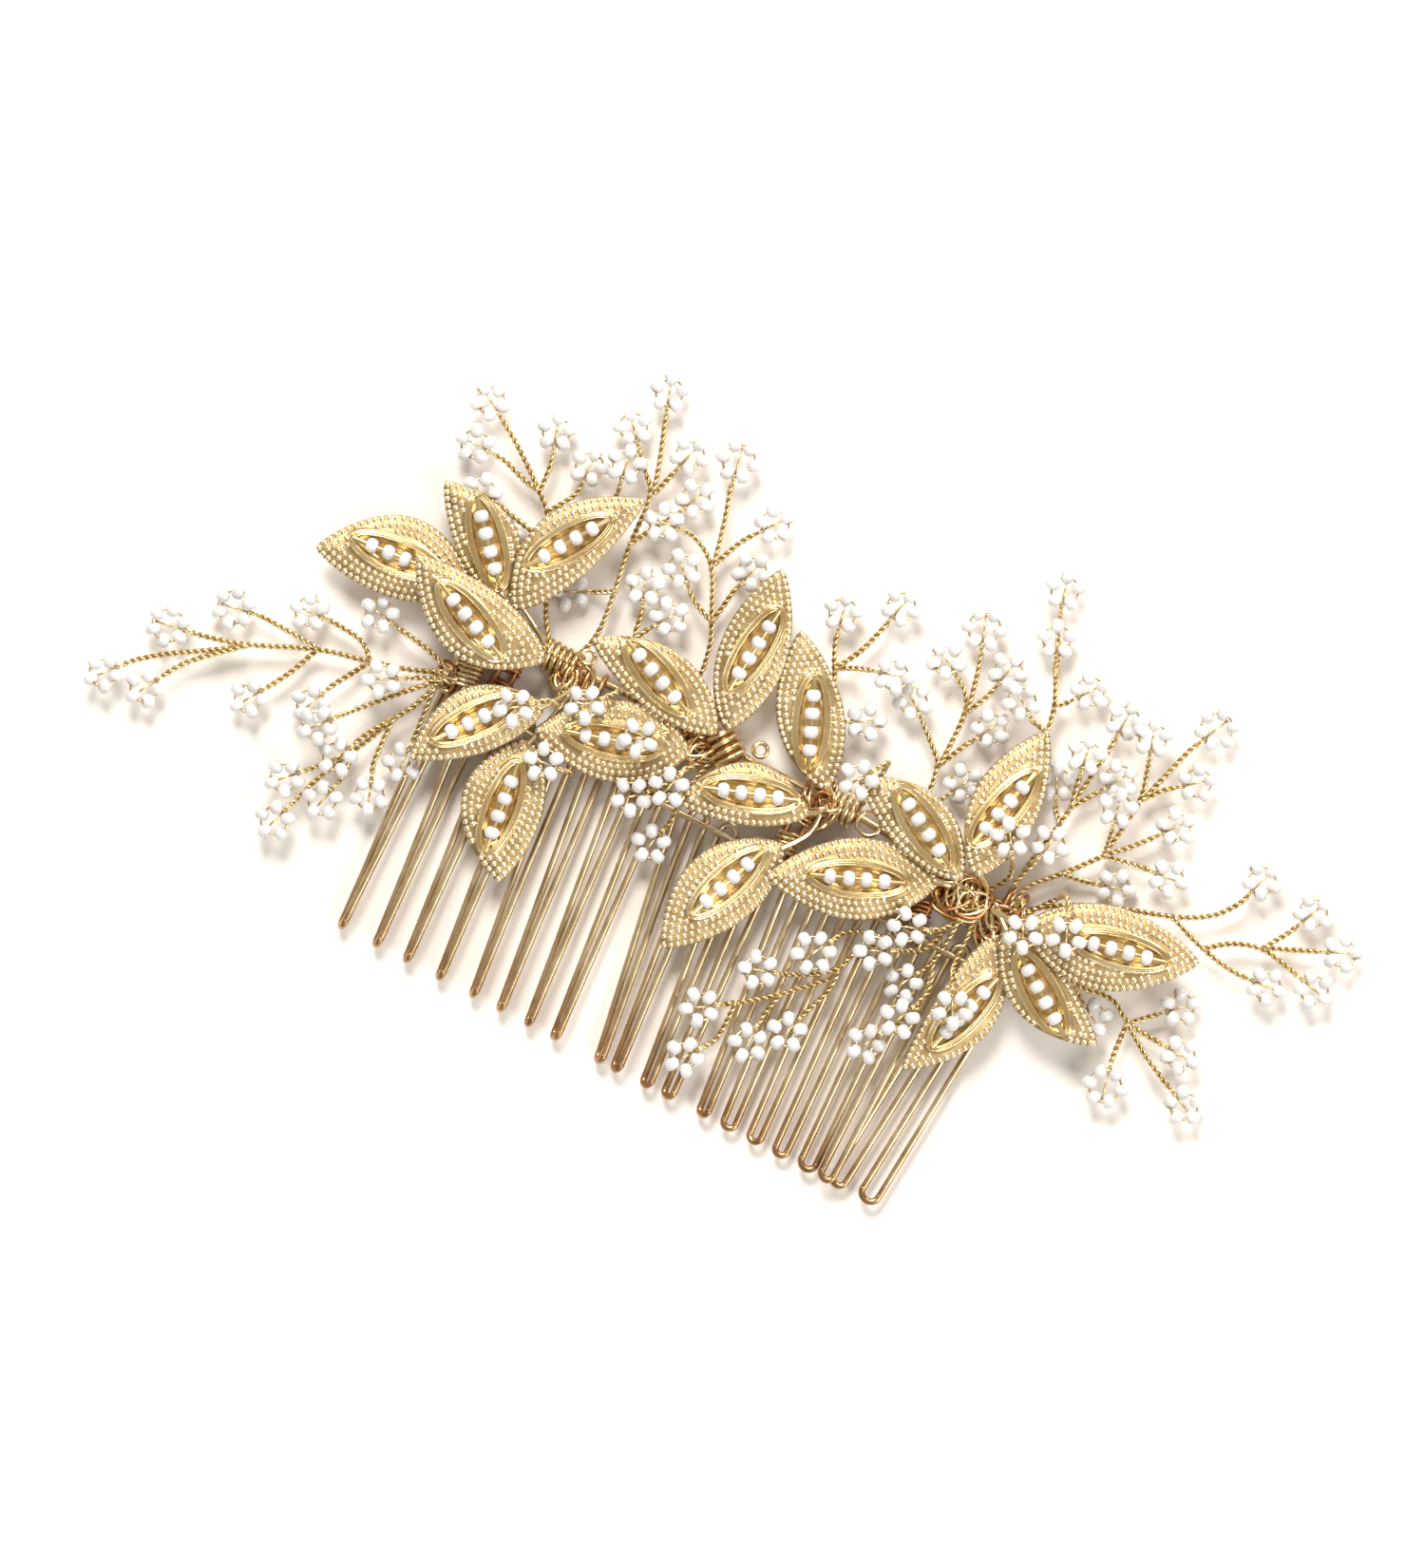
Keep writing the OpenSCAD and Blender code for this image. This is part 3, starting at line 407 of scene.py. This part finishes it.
def loops(rows, cols, closed_rows=False):
    """Quads over a grid of rows, each a closed loop of cols points."""
    r = np.arange(rows if closed_rows else rows - 1)[:, None]
    c = np.arange(cols)[None, :]
    r2, c2 = (r + 1) % rows, (c + 1) % cols
    quads = np.stack([r * cols + c, r * cols + c2, r2 * cols + c2, r2 * cols + c], -1)
    return quads.reshape(-1, 4)


def frames(path, closed=False):
    """Tangents and two normals that turn as little as they can along a path."""
    path = np.asarray(path, float)
    t = (np.roll(path, -1, 0) - np.roll(path, 1, 0)) if closed else np.gradient(path, axis=0)
    t /= np.linalg.norm(t, axis=1)[:, None] + 1e-12
    up = np.array([0, 0, 1.0]) if abs(t[0][2]) < 0.9 else np.array([1.0, 0, 0])
    n = np.cross(t[0], up)
    normals = []
    for k in range(len(path)):
        n = n - t[k] * (n @ t[k])
        n /= np.linalg.norm(n)
        normals.append(n)
    normals = np.array(normals)
    return t, normals, np.cross(t, normals)


def tube(shape, path, radius, sides, closed=False, mat=0):
    """A round wire along a path, with flat ends unless it is closed."""
    path = np.asarray(path, float)
    _, n, b = frames(path, closed)
    a = np.arange(sides) * 2 * math.pi / sides
    ring = np.cos(a)[None, :, None] * n[:, None] + np.sin(a)[None, :, None] * b[:, None]
    ring = ring * radius
    v = (path[:, None] + ring).reshape(-1, 3)
    q = loops(len(path), sides, closed)
    base = shape.n
    shape.add(v, q, mat)
    if not closed:
        for end, first, second in ((0, 1, 0), (len(path) - 1, 0, 1)):
            shape.v.append(path[end][None])
            k = np.arange(sides)
            rim = base + end * sides
            tri = np.stack([np.full(sides, shape.n), rim + (k + first) % sides,
                            rim + (k + second) % sides], -1)
            shape.f.extend(tri.tolist())
            shape.m.extend([mat] * sides)
            shape.n += 1


def smooth(points, rounds=2):
    """Cuts a route's corners, keeping its ends."""
    p = np.asarray(points, float)
    for _ in range(rounds):
        if len(p) < 3:
            break
        q = [p[0]]
        for a, b in zip(p[:-1], p[1:]):
            q += [a + (b - a) * 0.25, a + (b - a) * 0.75]
        q.append(p[-1])
        p = np.array([q[0]] + q[2:-2] + [q[-1]]) if len(q) > 5 else np.array(q)
    return p


def resample(points, step):
    """Evenly spaced points along a route, and their distances from its start."""
    p = np.asarray(points, float)
    s = np.concatenate([[0], np.cumsum(np.linalg.norm(np.diff(p, axis=0), axis=1))])
    n = max(3, int(round(s[-1] / step)) + 1)
    at = np.linspace(0, s[-1], n)
    return np.stack([np.interp(at, s, p[:, k]) for k in range(3)], -1), at


def twisted(shape, points, phase):
    """Two strands laid round each other along a route, over a dark core tube that paints the shade
    in the groove between them.
    """
    path, at = resample(smooth(points), 0.15)
    _, n, b = frames(path)
    off = 0.5 * (TWIST_D - STRAND_D)
    # dark core: painted shade that shows in the groove between the strands
    tube(shape, path[::2], 0.12, 5, mat=1)
    for k in (0, 1):
        a = phase + 2 * math.pi * at / TWIST_PITCH + k * math.pi
        lay = path + off * (np.cos(a)[:, None] * n + np.sin(a)[:, None] * b)
        tube(shape, lay, STRAND_D / 2, 6)


def bead_mesh(segments=20):
    """A round seed bead, bore along X, 2 mm across and 1.56 long."""
    b = np.radians([-52, -40, -27, -13, 0, 13, 27, 40, 52])
    radial = np.concatenate([np.cos(b), [0.5, 0.42, 0.4, 0.42, 0.5]])
    axial = np.concatenate([0.985 * np.sin(b), [0.76, 0.62, 0, -0.62, -0.76]])
    ring = len(radial)
    t = np.arange(segments) * 2 * math.pi / segments
    v = np.stack([np.broadcast_to(axial, (segments, ring)),
                  np.cos(t)[:, None] * radial, np.sin(t)[:, None] * radial], -1)
    return v.reshape(-1, 3), loops(segments, ring, True)


BEAD_V, BEAD_F = bead_mesh()


def turn_z(a):
    c, s = math.cos(a), math.sin(a)
    return np.array([[c, -s, 0], [s, c, 0], [0, 0, 1.0]])


def turn_y(a):
    c, s = math.cos(a), math.sin(a)
    return np.array([[c, 0, s], [0, 1.0, 0], [-s, 0, c]])


def turn_x(a):
    c, s = math.cos(a), math.sin(a)
    return np.array([[1.0, 0, 0], [0, c, -s], [0, s, c]])


def add_bead(shape, at, turn, wobble):
    """A bead with its bore along the turned X, a little uneven in size and tilt."""
    w = rng.uniform(-wobble, wobble, 3)
    grow = np.array([rng.uniform(0.93, 1.0), 1, 1]) * rng.uniform(0.96, 1.0)
    v = (BEAD_V * grow) @ (turn @ turn_y(w[1]) @ turn_z(w[2]) @ turn_x(w[0])).T
    shape.add(v + at, BEAD_F)


# ---- comb, spine and backbone: the CAD wires with their own metal ----
def dress(name, mat):
    o = frame["nodes"][name]
    o.data.materials.clear()
    o.data.materials.append(mat)


for name in ("comb_teeth", "spine_front", "spine_back"):
    dress(name, M_COMB)
dress("backbone_wire", M_WIRE)
for k in range(1, 7):
    dress(f"bead_wires_{k}", M_WIRE)


# ---- leaves ----
def leaf_mid(length, bow, x):
    """How far a leaf's middle line is bowed to the left at x."""
    return 4 * bow * (x / length) * (1 - x / length)


def leaf_half(t, width):
    """Half a leaf's width at the share t of its length."""
    return width / 2 * np.maximum(0, np.sin(np.pi * np.clip(t, 0, 1) ** 0.9)) ** 0.76


def to_curve(points, curve):
    """Shortest distance from each point to a closed curve."""
    a, b = curve, np.roll(curve, -1, 0)
    d = b - a
    ap = points[:, None] - a[None]
    u = np.clip((ap * d).sum(-1) / ((d * d).sum(-1) + 1e-12), 0, 1)
    return np.linalg.norm(ap - u[..., None] * d, axis=-1).min(1)


LEAF_POINTS = 120


def eye(length, width, n=LEAF_POINTS):
    """An eye-shaped curve, pointed along X."""
    a = np.arange(n) * 2 * math.pi / n
    return np.stack([length / 2 * np.cos(a),
                     width / 2 * np.sign(np.sin(a)) * np.abs(np.sin(a)) ** 1.15], -1)


def leaf(shape, p):
    """A stamped leaf: border with rows of grains over a dark ground painted as the shade between
    them, two ridges round a polished dish.
    """
    base, heading, length, width, bow, dish_turn, dish_shift, z, pitch = p
    turn = turn_z(math.radians(heading)) @ turn_y(math.radians(-pitch))
    foot = np.array([base[0], base[1], z])
    mid_x = length / 2 + dish_shift
    dish_at = np.array([mid_x, leaf_mid(length, bow, mid_x)])
    c, s = math.cos(math.radians(dish_turn)), math.sin(math.radians(dish_turn))
    spin = np.array([[c, -s], [s, c]])
    n = LEAF_POINTS
    a = np.arange(n) * 2 * math.pi / n
    t = (1 + np.cos(a)) / 2
    outline = np.stack([length * t, leaf_mid(length, bow, length * t)
                        + np.sign(np.sin(a)) * leaf_half(t, width)], -1)
    rim = eye(DISH_L, DISH_W) @ spin.T + dish_at

    def inside(q, share=0.93):
        x = np.clip(q[:, 0], 0.03 * length, 0.975 * length)
        m = leaf_mid(length, bow, x)
        h = share * leaf_half(x / length, width)
        return np.stack([x, np.clip(q[:, 1], m - h, m + h)], -1)

    def signed_eye(q):
        local = (q - dish_at) @ spin
        x = np.clip(2 * local[:, 0] / DISH_L, -1, 1)
        within = (np.abs(local[:, 0]) < DISH_L / 2) & (
            np.abs(local[:, 1]) < DISH_W / 2 * (1 - x * x) ** 0.575)
        return np.where(within, -1, 1) * to_curve(q, rim)

    def height(q):
        """Height of the face over the foot: border, rim ridges and bowl."""
        d, e = to_curve(q, outline), signed_eye(q)
        band = 0.38 + 0.62 * (1 - np.exp(-d / 0.9))
        bowl = 0.3 + (band - 0.3) * np.exp(np.minimum(e, 0) / 0.32)
        z = np.where(e < 0, bowl, band)
        return (z + 0.44 * np.exp(-((e - 0.2) / 0.17) ** 2)
                + 0.3 * np.exp(-((e - 0.78) / 0.17) ** 2))

    def place(v):
        return v @ turn.T + foot

    rings = []
    out_rim = inside(eye(DISH_L + 2.1, DISH_W + 2.1) @ spin.T + dish_at)
    for u in (0, 0.04, 0.1, 0.2, 0.32, 0.45, 0.6, 0.75, 0.88, 1):
        rings.append(outline * (1 - u) + out_rim * u)
    for e in (0.93, 0.86, 0.78, 0.7, 0.62, 0.54, 0.46, 0.38, 0.29, 0.2, 0.11, 0.02, -0.08, -0.2):
        rings.append(inside(eye(DISH_L + 2 * e, DISH_W + 2 * e) @ spin.T + dish_at, 0.95))
    for u in (0.82, 0.66, 0.48, 0.3, 0.12, 0.01):
        rings.append(inside(eye(DISH_L * u, DISH_W * u) @ spin.T + dish_at, 0.95))
    top = [np.column_stack([q, height(q)]) for q in rings]
    bottom = []
    for k in (0, 2, 4, 6, 8, 9, 14, 20, 24, 26, 28, 29):
        q = rings[k]
        zq = top[k][:, 2]
        flat = np.minimum(zq, 1.0) - 0.34
        bottom.append(np.column_stack([q, np.maximum(flat, 0.02)]))
    grid = bottom[::-1] + top
    v = np.vstack([place(r) for r in grid])
    f = loops(len(grid), n)
    ring_of = f[:, 0] // n
    nb = len(bottom)
    # underside and border take the dark painted-shade material that shows between the grains;
    # ridges and dish take the polished gold
    mat = np.where(ring_of < nb, 0, np.where(ring_of - nb < 9, 0, 2))
    shape.add(v, f, mat)
    # rows of grains that follow the outline
    shut = np.vstack([outline, outline[:1]])
    along, _ = resample(np.column_stack([shut, np.zeros(n + 1)]), 0.1)
    along = along[:, :2]
    tangent = np.gradient(along, axis=0)
    tangent /= np.linalg.norm(tangent, axis=1)[:, None] + 1e-9
    inward = np.stack([-tangent[:, 1], tangent[:, 0]], -1)
    for row in range(6):
        depth = GRAIN_R + ROW_STEP * row
        q = along + inward * depth
        keep = (to_curve(q, outline) > depth - 0.06) & (signed_eye(q) > 1.16)
        last = None
        for k in np.nonzero(keep)[0]:
            if last is not None and np.linalg.norm(q[k] - last) < GRAIN_STEP:
                continue
            last = q[k]
            zk = height(q[k][None])[0]
            grain(shape, place(np.array([[*q[k], zk]]))[0], turn)


def dome(sides=8, rows=3):
    """Half a ball: its points, and its faces as quads and the triangles at the top."""
    v = []
    for r in range(rows):
        b = math.pi / 2 * r / rows
        a = np.arange(sides) * 2 * math.pi / sides
        v.append(np.stack([np.cos(a) * math.cos(b), np.sin(a) * math.cos(b),
                           np.full(sides, math.sin(b))], -1))
    v = np.vstack(v + [np.array([[0, 0, 1.0]])])
    q = loops(rows, sides)
    k = np.arange(sides)
    top = np.stack([(rows - 1) * sides + k, (rows - 1) * sides + (k + 1) % sides,
                    np.full(sides, rows * sides)], -1)
    return v, q, top


DOME_V, DOME_Q, DOME_T = dome()


def grain(shape, at, turn):
    r = GRAIN_R * rng.uniform(0.93, 1.06)
    v = DOME_V * np.array([r, r, r * 0.85]) @ turn.T + at - turn[:, 2] * 0.06
    n = shape.n
    shape.add(v, DOME_Q, 1)
    shape.f.extend((DOME_T + n).tolist())
    shape.m.extend([1] * len(DOME_T))


for k in range(6):
    s = Shape()
    for p in LEAVES[3 * k:3 * k + 3]:
        leaf(s, p)
    for j, stem in enumerate(SPRIG_STEMS[k]):
        path, _ = resample(smooth(stem), 0.25)
        tube(s, path, (STEM_D - STEM_THINNER * j) / 2, 10, mat=2)
    # first material: the dark ground painted as the shade between the grains
    s.piece(f"leaf_sprig_{k + 1}_stamped", "comb", [M_PIT_SHADE, M_GRAIN, M_DISH],
            [f"leaf_sprig_{k + 1}"], "leaf_gold")

# ---- the rows of beads in the leaves ----
for i, p in enumerate(LEAVES):
    base, heading, length, _, bow, dish_turn, dish_shift, z, pitch = p
    turn = turn_z(math.radians(heading)) @ turn_y(math.radians(-pitch))
    row = turn @ turn_z(math.radians(dish_turn))
    mid_x = length / 2 + dish_shift
    centre = turn @ np.array([mid_x, leaf_mid(length, bow, mid_x), ROW_Z])
    centre = centre + np.array([*base, z])
    s = Shape()
    for j in (-1.5, -0.5, 0.5, 1.5):
        along_wire = j * BEAD_PITCH + rng.uniform(-0.06, 0.06)
        add_bead(s, centre + row @ np.array([along_wire, 0, 0]), row, 0.0)
    s.piece(f"bead_row_{i + 1:02d}_beads", f"beads_{i + 1:02d}", [M_BEAD],
            [f"bead_row_{i + 1:02d}"], "pearl_beads")


# ---- sprays and their flowers ----
def lifted(p, z):
    """A point of a route at the spray's level z, raised by its own third number if it has one."""
    return np.array([p[0], p[1], z + (p[2] if len(p) > 2 else 0)], float)


def ring_radius(f):
    """Radius of the ring on which a flower's beads just meet."""
    return 1.03 / math.sin(math.pi / (f[3] if len(f) > 3 else 5))


def shared(twigs, i):
    """How many earlier twigs pass through the point where twig i starts."""
    a = np.array(twigs[i][0][0][:2], float)
    return sum(any(np.linalg.norm(np.array(p[:2]) - a) < 0.1 for p in twigs[j][0])
               for j in range(i))


# where the roots of the sprays are bound
ANCHORS = np.array([[-40.2, 4.5, 2.8], [-28.7, 8.6, 2.9], [-16, 9.4, 2.8], [-5.4, 8.8, 2.9],
                    [11.6, 9, 2.9], [22, 8.8, 2.8], [31, 7.2, 2.9], [37, 6.4, 2.8]])

for name, (twigs, z) in SPRAYS.items():
    wires, beads = Shape(), Shape()
    for i, (route, f) in enumerate(twigs):
        pts = [lifted(p, z) for p in route]
        pts[0][2] += [0, 0.78, -0.78, -1.56, 1.56][shared(twigs, i)]
        if shared(twigs, i) == 0:
            # the root of a spray runs on to the nearest binding, under the leaves
            near = ANCHORS[np.argmin(np.linalg.norm(ANCHORS - pts[0], axis=1))]
            gap = np.linalg.norm(near - pts[0])
            if 0.8 < gap < 12:
                pts.insert(0, near + rng.uniform(-0.4, 0.4, 3) * [1, 1, 0.5])
        if f:
            count = f[3] if len(f) > 3 else 5
            centre = lifted(f, z)
            lean = turn_x(rng.uniform(-0.17, 0.17)) @ turn_y(rng.uniform(-0.17, 0.17))
            if not 2.4 < centre[2] < 8:
                lean = np.eye(3)
            way = lifted(route[-1], z) - centre
            way[2] = 0
            way /= np.linalg.norm(way)
            r = ring_radius(f)
            lead = centre + way * (r + 1.1)
            pts.append(lead)
        twisted(wires, pts, phase=rng.uniform(0, 6.28))
        if f:
            a0 = math.atan2(way[1], way[0])
            a = np.linspace(0, 2 * math.pi, 37)[:-1]
            hoop = centre + np.stack([r * np.cos(a), r * np.sin(a), 0 * a], -1) @ lean.T
            tube(wires, hoop, RING_WIRE_R, 6, closed=True)
            bridge = [centre + way * (r - 0.2), centre + [0, 0, 0.25], centre - way * (r - 0.3)]
            tube(wires, np.array(bridge), 0.14, 6)
            for side in (-0.13, 0.13):
                across = np.array([-way[1], way[0], 0]) * side
                tube(wires, np.array([lead + way * 0.3 + across * 0.6,
                                      centre + way * (r + 0.45) + across,
                                      centre + way * r + across * 1.6]), 0.13, 6)
            for k in range(count):
                b = a0 + (k + 0.5) * 2 * math.pi / count
                out = np.array([math.cos(b), math.sin(b), rng.uniform(-0.06, 0.06)])
                add_bead(beads, centre + lean @ (r * out), lean @ turn_z(b + math.pi / 2), 0.16)
    # second material: the dark core, painted shade in the wire's groove
    wires.piece(f"spray_{name}_twisted", "comb", [M_WIRE, M_GROOVE_SHADE], [f"spray_{name}"], "gold_wire")
    beads.piece(f"flowers_{name}_beads", "comb", [M_BEAD], [f"flowers_{name}"], "pearl_beads")


# ---- bindings ----
def helix(centre, axis_turn, r, turns, pitch, flat=1.0, start=0.0):
    """Turns of wire along the turned X, flattened in height by flat."""
    per = 20  # points in a turn
    n = int(turns * per) + 1
    a = start + np.arange(n) * 2 * math.pi / per
    x = (np.arange(n) / per - turns / 2) * pitch
    wob = 1 + 0.03 * np.sin(a * 0.37 + start)
    v = np.stack([x, r * wob * np.cos(a), r * flat * wob * np.sin(a)], -1)
    return v @ axis_turn.T + centre


def binding(name, x, y, turns, pitch, r, slant, loop):
    """A gold winding over a dark under-winding whose copper-brown is painted shade, with a loose
    loop at x, y, z and radius, or None.
    """
    s = Shape()
    axis = turn_z(math.radians(slant))
    centre = np.array([x, y, 2.4])
    tube(s, helix(centre, axis, r, turns, pitch), 0.4, 10)
    under = helix(centre + [0, 0, 0.05], axis, r - 0.55, turns + 0.5, pitch * 0.9, start=1.3)
    # the under-winding's dark copper-brown is painted shade
    tube(s, under, 0.3, 8, mat=1)
    if loop:
        lx, ly, lz, lr = loop
        a = np.linspace(0, 2 * math.pi * 1.15, 40)
        v = np.stack([lx + lr * np.cos(a), ly + lr * np.sin(a), lz - 0.3 + 0.45 * a / a[-1]], -1)
        tube(s, v, 0.3, 8)
    s.piece(f"{name}_wound", "comb", [M_WOUND, M_DARK_WIRE_SHADE], [name], "gold_wire")


binding("binding_left", -28.7, 9.5, 5, 0.85, 1.75, 0, (-26, 11.5, 3.9, 0.9))
binding("binding_middle_left", -5.2, 9.4, 4, 1.1, 2, -40, (-1.2, 11.2, 3.4, 0.9))
binding("binding_middle_right", 11.7, 9.6, 4, 0.85, 1.75, 0, (15.3, 9.3, 3.9, 1.5))
binding("binding_right", 30.5, 7.6, 4, 0.85, 1.75, 0, None)

# tie wires: the closed turns round spine and backbone, in dark copper-brown painted as shade, with
# thin wire wound over each pair
s = Shape()
for x in TIE_X:
    r = (TIE_TOP - TIE_R) / 2
    zc = r + TIE_R
    a = np.linspace(-math.pi / 2, math.pi / 2, 10)
    far = np.stack([np.full(10, x), 9 + r * np.cos(a), zc + r * np.sin(a)], -1)
    near = np.stack([np.full(10, x), -0.3 - r * np.cos(a), zc - r * np.sin(a)], -1)
    tube(s, np.vstack([far, near]), TIE_R, 8, closed=True)
s.piece("tie_wires_round", "comb", [M_DARK_WIRE_SHADE], ["tie_wires"], "tie_wire")
s = Shape()
for k in range(0, len(TIE_X), 2):
    x = (TIE_X[k] + TIE_X[k + 1]) / 2
    for y0, turns in ((2.4, 5), (6.2, 4)):
        axis = turn_z(math.radians(90 + rng.uniform(-9, 9)))
        coil = helix(np.array([x, y0, 3.1]), axis, 1.55, turns, 0.62, flat=0.42,
                     start=rng.uniform(0, 6))
        # every other pair of wraps takes the dark copper-brown painted as shade
        tube(s, coil, 0.23, 6, mat=int(k % 4 == 0))
s.piece("tie_wraps_wound", "comb", [M_DARK_WIRE_SHADE, M_WOUND], (), "tie_wire")


def tangle(name, x, y, z, spread, count):
    """Loose turns of thin wire round a binding, within spread each way."""
    s = Shape()
    for k in range(count):
        a = np.linspace(0, 2 * math.pi, 9)[:-1] + rng.uniform(0, 6)
        tilt = turn_x(rng.uniform(-0.9, 0.9)) @ turn_y(rng.uniform(-0.7, 0.7))
        r = rng.uniform(0.55, 1.0, 8)
        v = np.stack([spread[0] * r * np.cos(a), spread[1] * r * np.sin(a), 0 * a], -1) @ tilt.T
        v[:, 2] = np.clip(v[:, 2], -spread[2], spread[2])
        v = v + np.array([x, y, z]) + rng.uniform(-0.5, 0.5, 3) * np.array(spread)
        v = np.vstack([v, v[:1]])
        for _ in range(3):
            cut = np.vstack([(v[:-1] * 0.75 + v[1:] * 0.25), (v[:-1] * 0.25 + v[1:] * 0.75)])
            v = cut.reshape(2, -1, 3).transpose(1, 0, 2).reshape(-1, 3)
            v = np.vstack([v, v[:1]])
        # some loose turns take the dark copper-brown painted as shade
        tube(s, v[:-1], TANGLE_R, 6, closed=True, mat=int(k % 5 in (1, 3)))
    s.piece(name, "comb", [M_WOUND, M_DARK_WIRE_SHADE], (), "gold_wire")


tangle("tangle_far_left", -40.2, 1.6, 3.0, (1.8, 2.0, 1.0), 5)
tangle("tangle_left", -26.5, 8.6, 3.4, (2.2, 2.4, 1.2), 8)
tangle("tangle_middle_left", -8.6, 8.2, 3.2, (2.6, 2.6, 1.2), 12)
tangle("tangle_middle", 8.8, 8.2, 3.2, (2.4, 2.6, 1.2), 11)
tangle("tangle_right", 30.2, 6.2, 3.6, (3.2, 3.0, 1.3), 14)
tangle("tangle_far_right", 35.2, 5.6, 3.4, (3.0, 3.4, 1.2), 12)

# ---- floor and light ----
bpy.ops.mesh.primitive_plane_add(size=6, location=(0, 0, -0.0002))
floor = bpy.context.object
floor.name = "floor"
m, nt, b = material("floor_white")
pale = ramp(nt, noise(nt, 3, 2), [(0.3, (0.93, 0.87, 0.80)), (0.7, (0.95, 0.89, 0.82))])
nt.links.new(pale, b.inputs["Base Color"])
b.inputs["Roughness"].default_value = 0.9
floor.data.materials.append(m)


def softbox(name, at, size, power, colour=(1, 1, 1)):
    """A round area light that faces the origin, in metres and watts."""
    d = bpy.data.lights.new(name, "AREA")
    d.shape, d.size, d.energy, d.color = "DISK", size, power, colour
    o = bpy.data.objects.new(name, d)
    bpy.context.scene.collection.objects.link(o)
    o.location = at
    o.rotation_euler = (-Vector(at)).to_track_quat("-Z", "Y").to_euler()


softbox("key", (-0.35, 0.5, 0.8), 0.4, 9.5, (1, 0.985, 0.96))
softbox("fill", (0.7, -0.2, 0.7), 0.5, 4.6)
softbox("back", (0.1, 0.9, 0.35), 0.4, 3.5)
world = bpy.data.worlds.new("studio")
bpy.context.scene.world = world
world.use_nodes = True
world.node_tree.nodes["Background"].inputs["Color"].default_value = (1, 0.985, 0.96, 1)
world.node_tree.nodes["Background"].inputs["Strength"].default_value = 0.42
bpy.context.scene.view_settings.view_transform = "Standard"

bpy.context.view_layer.update()
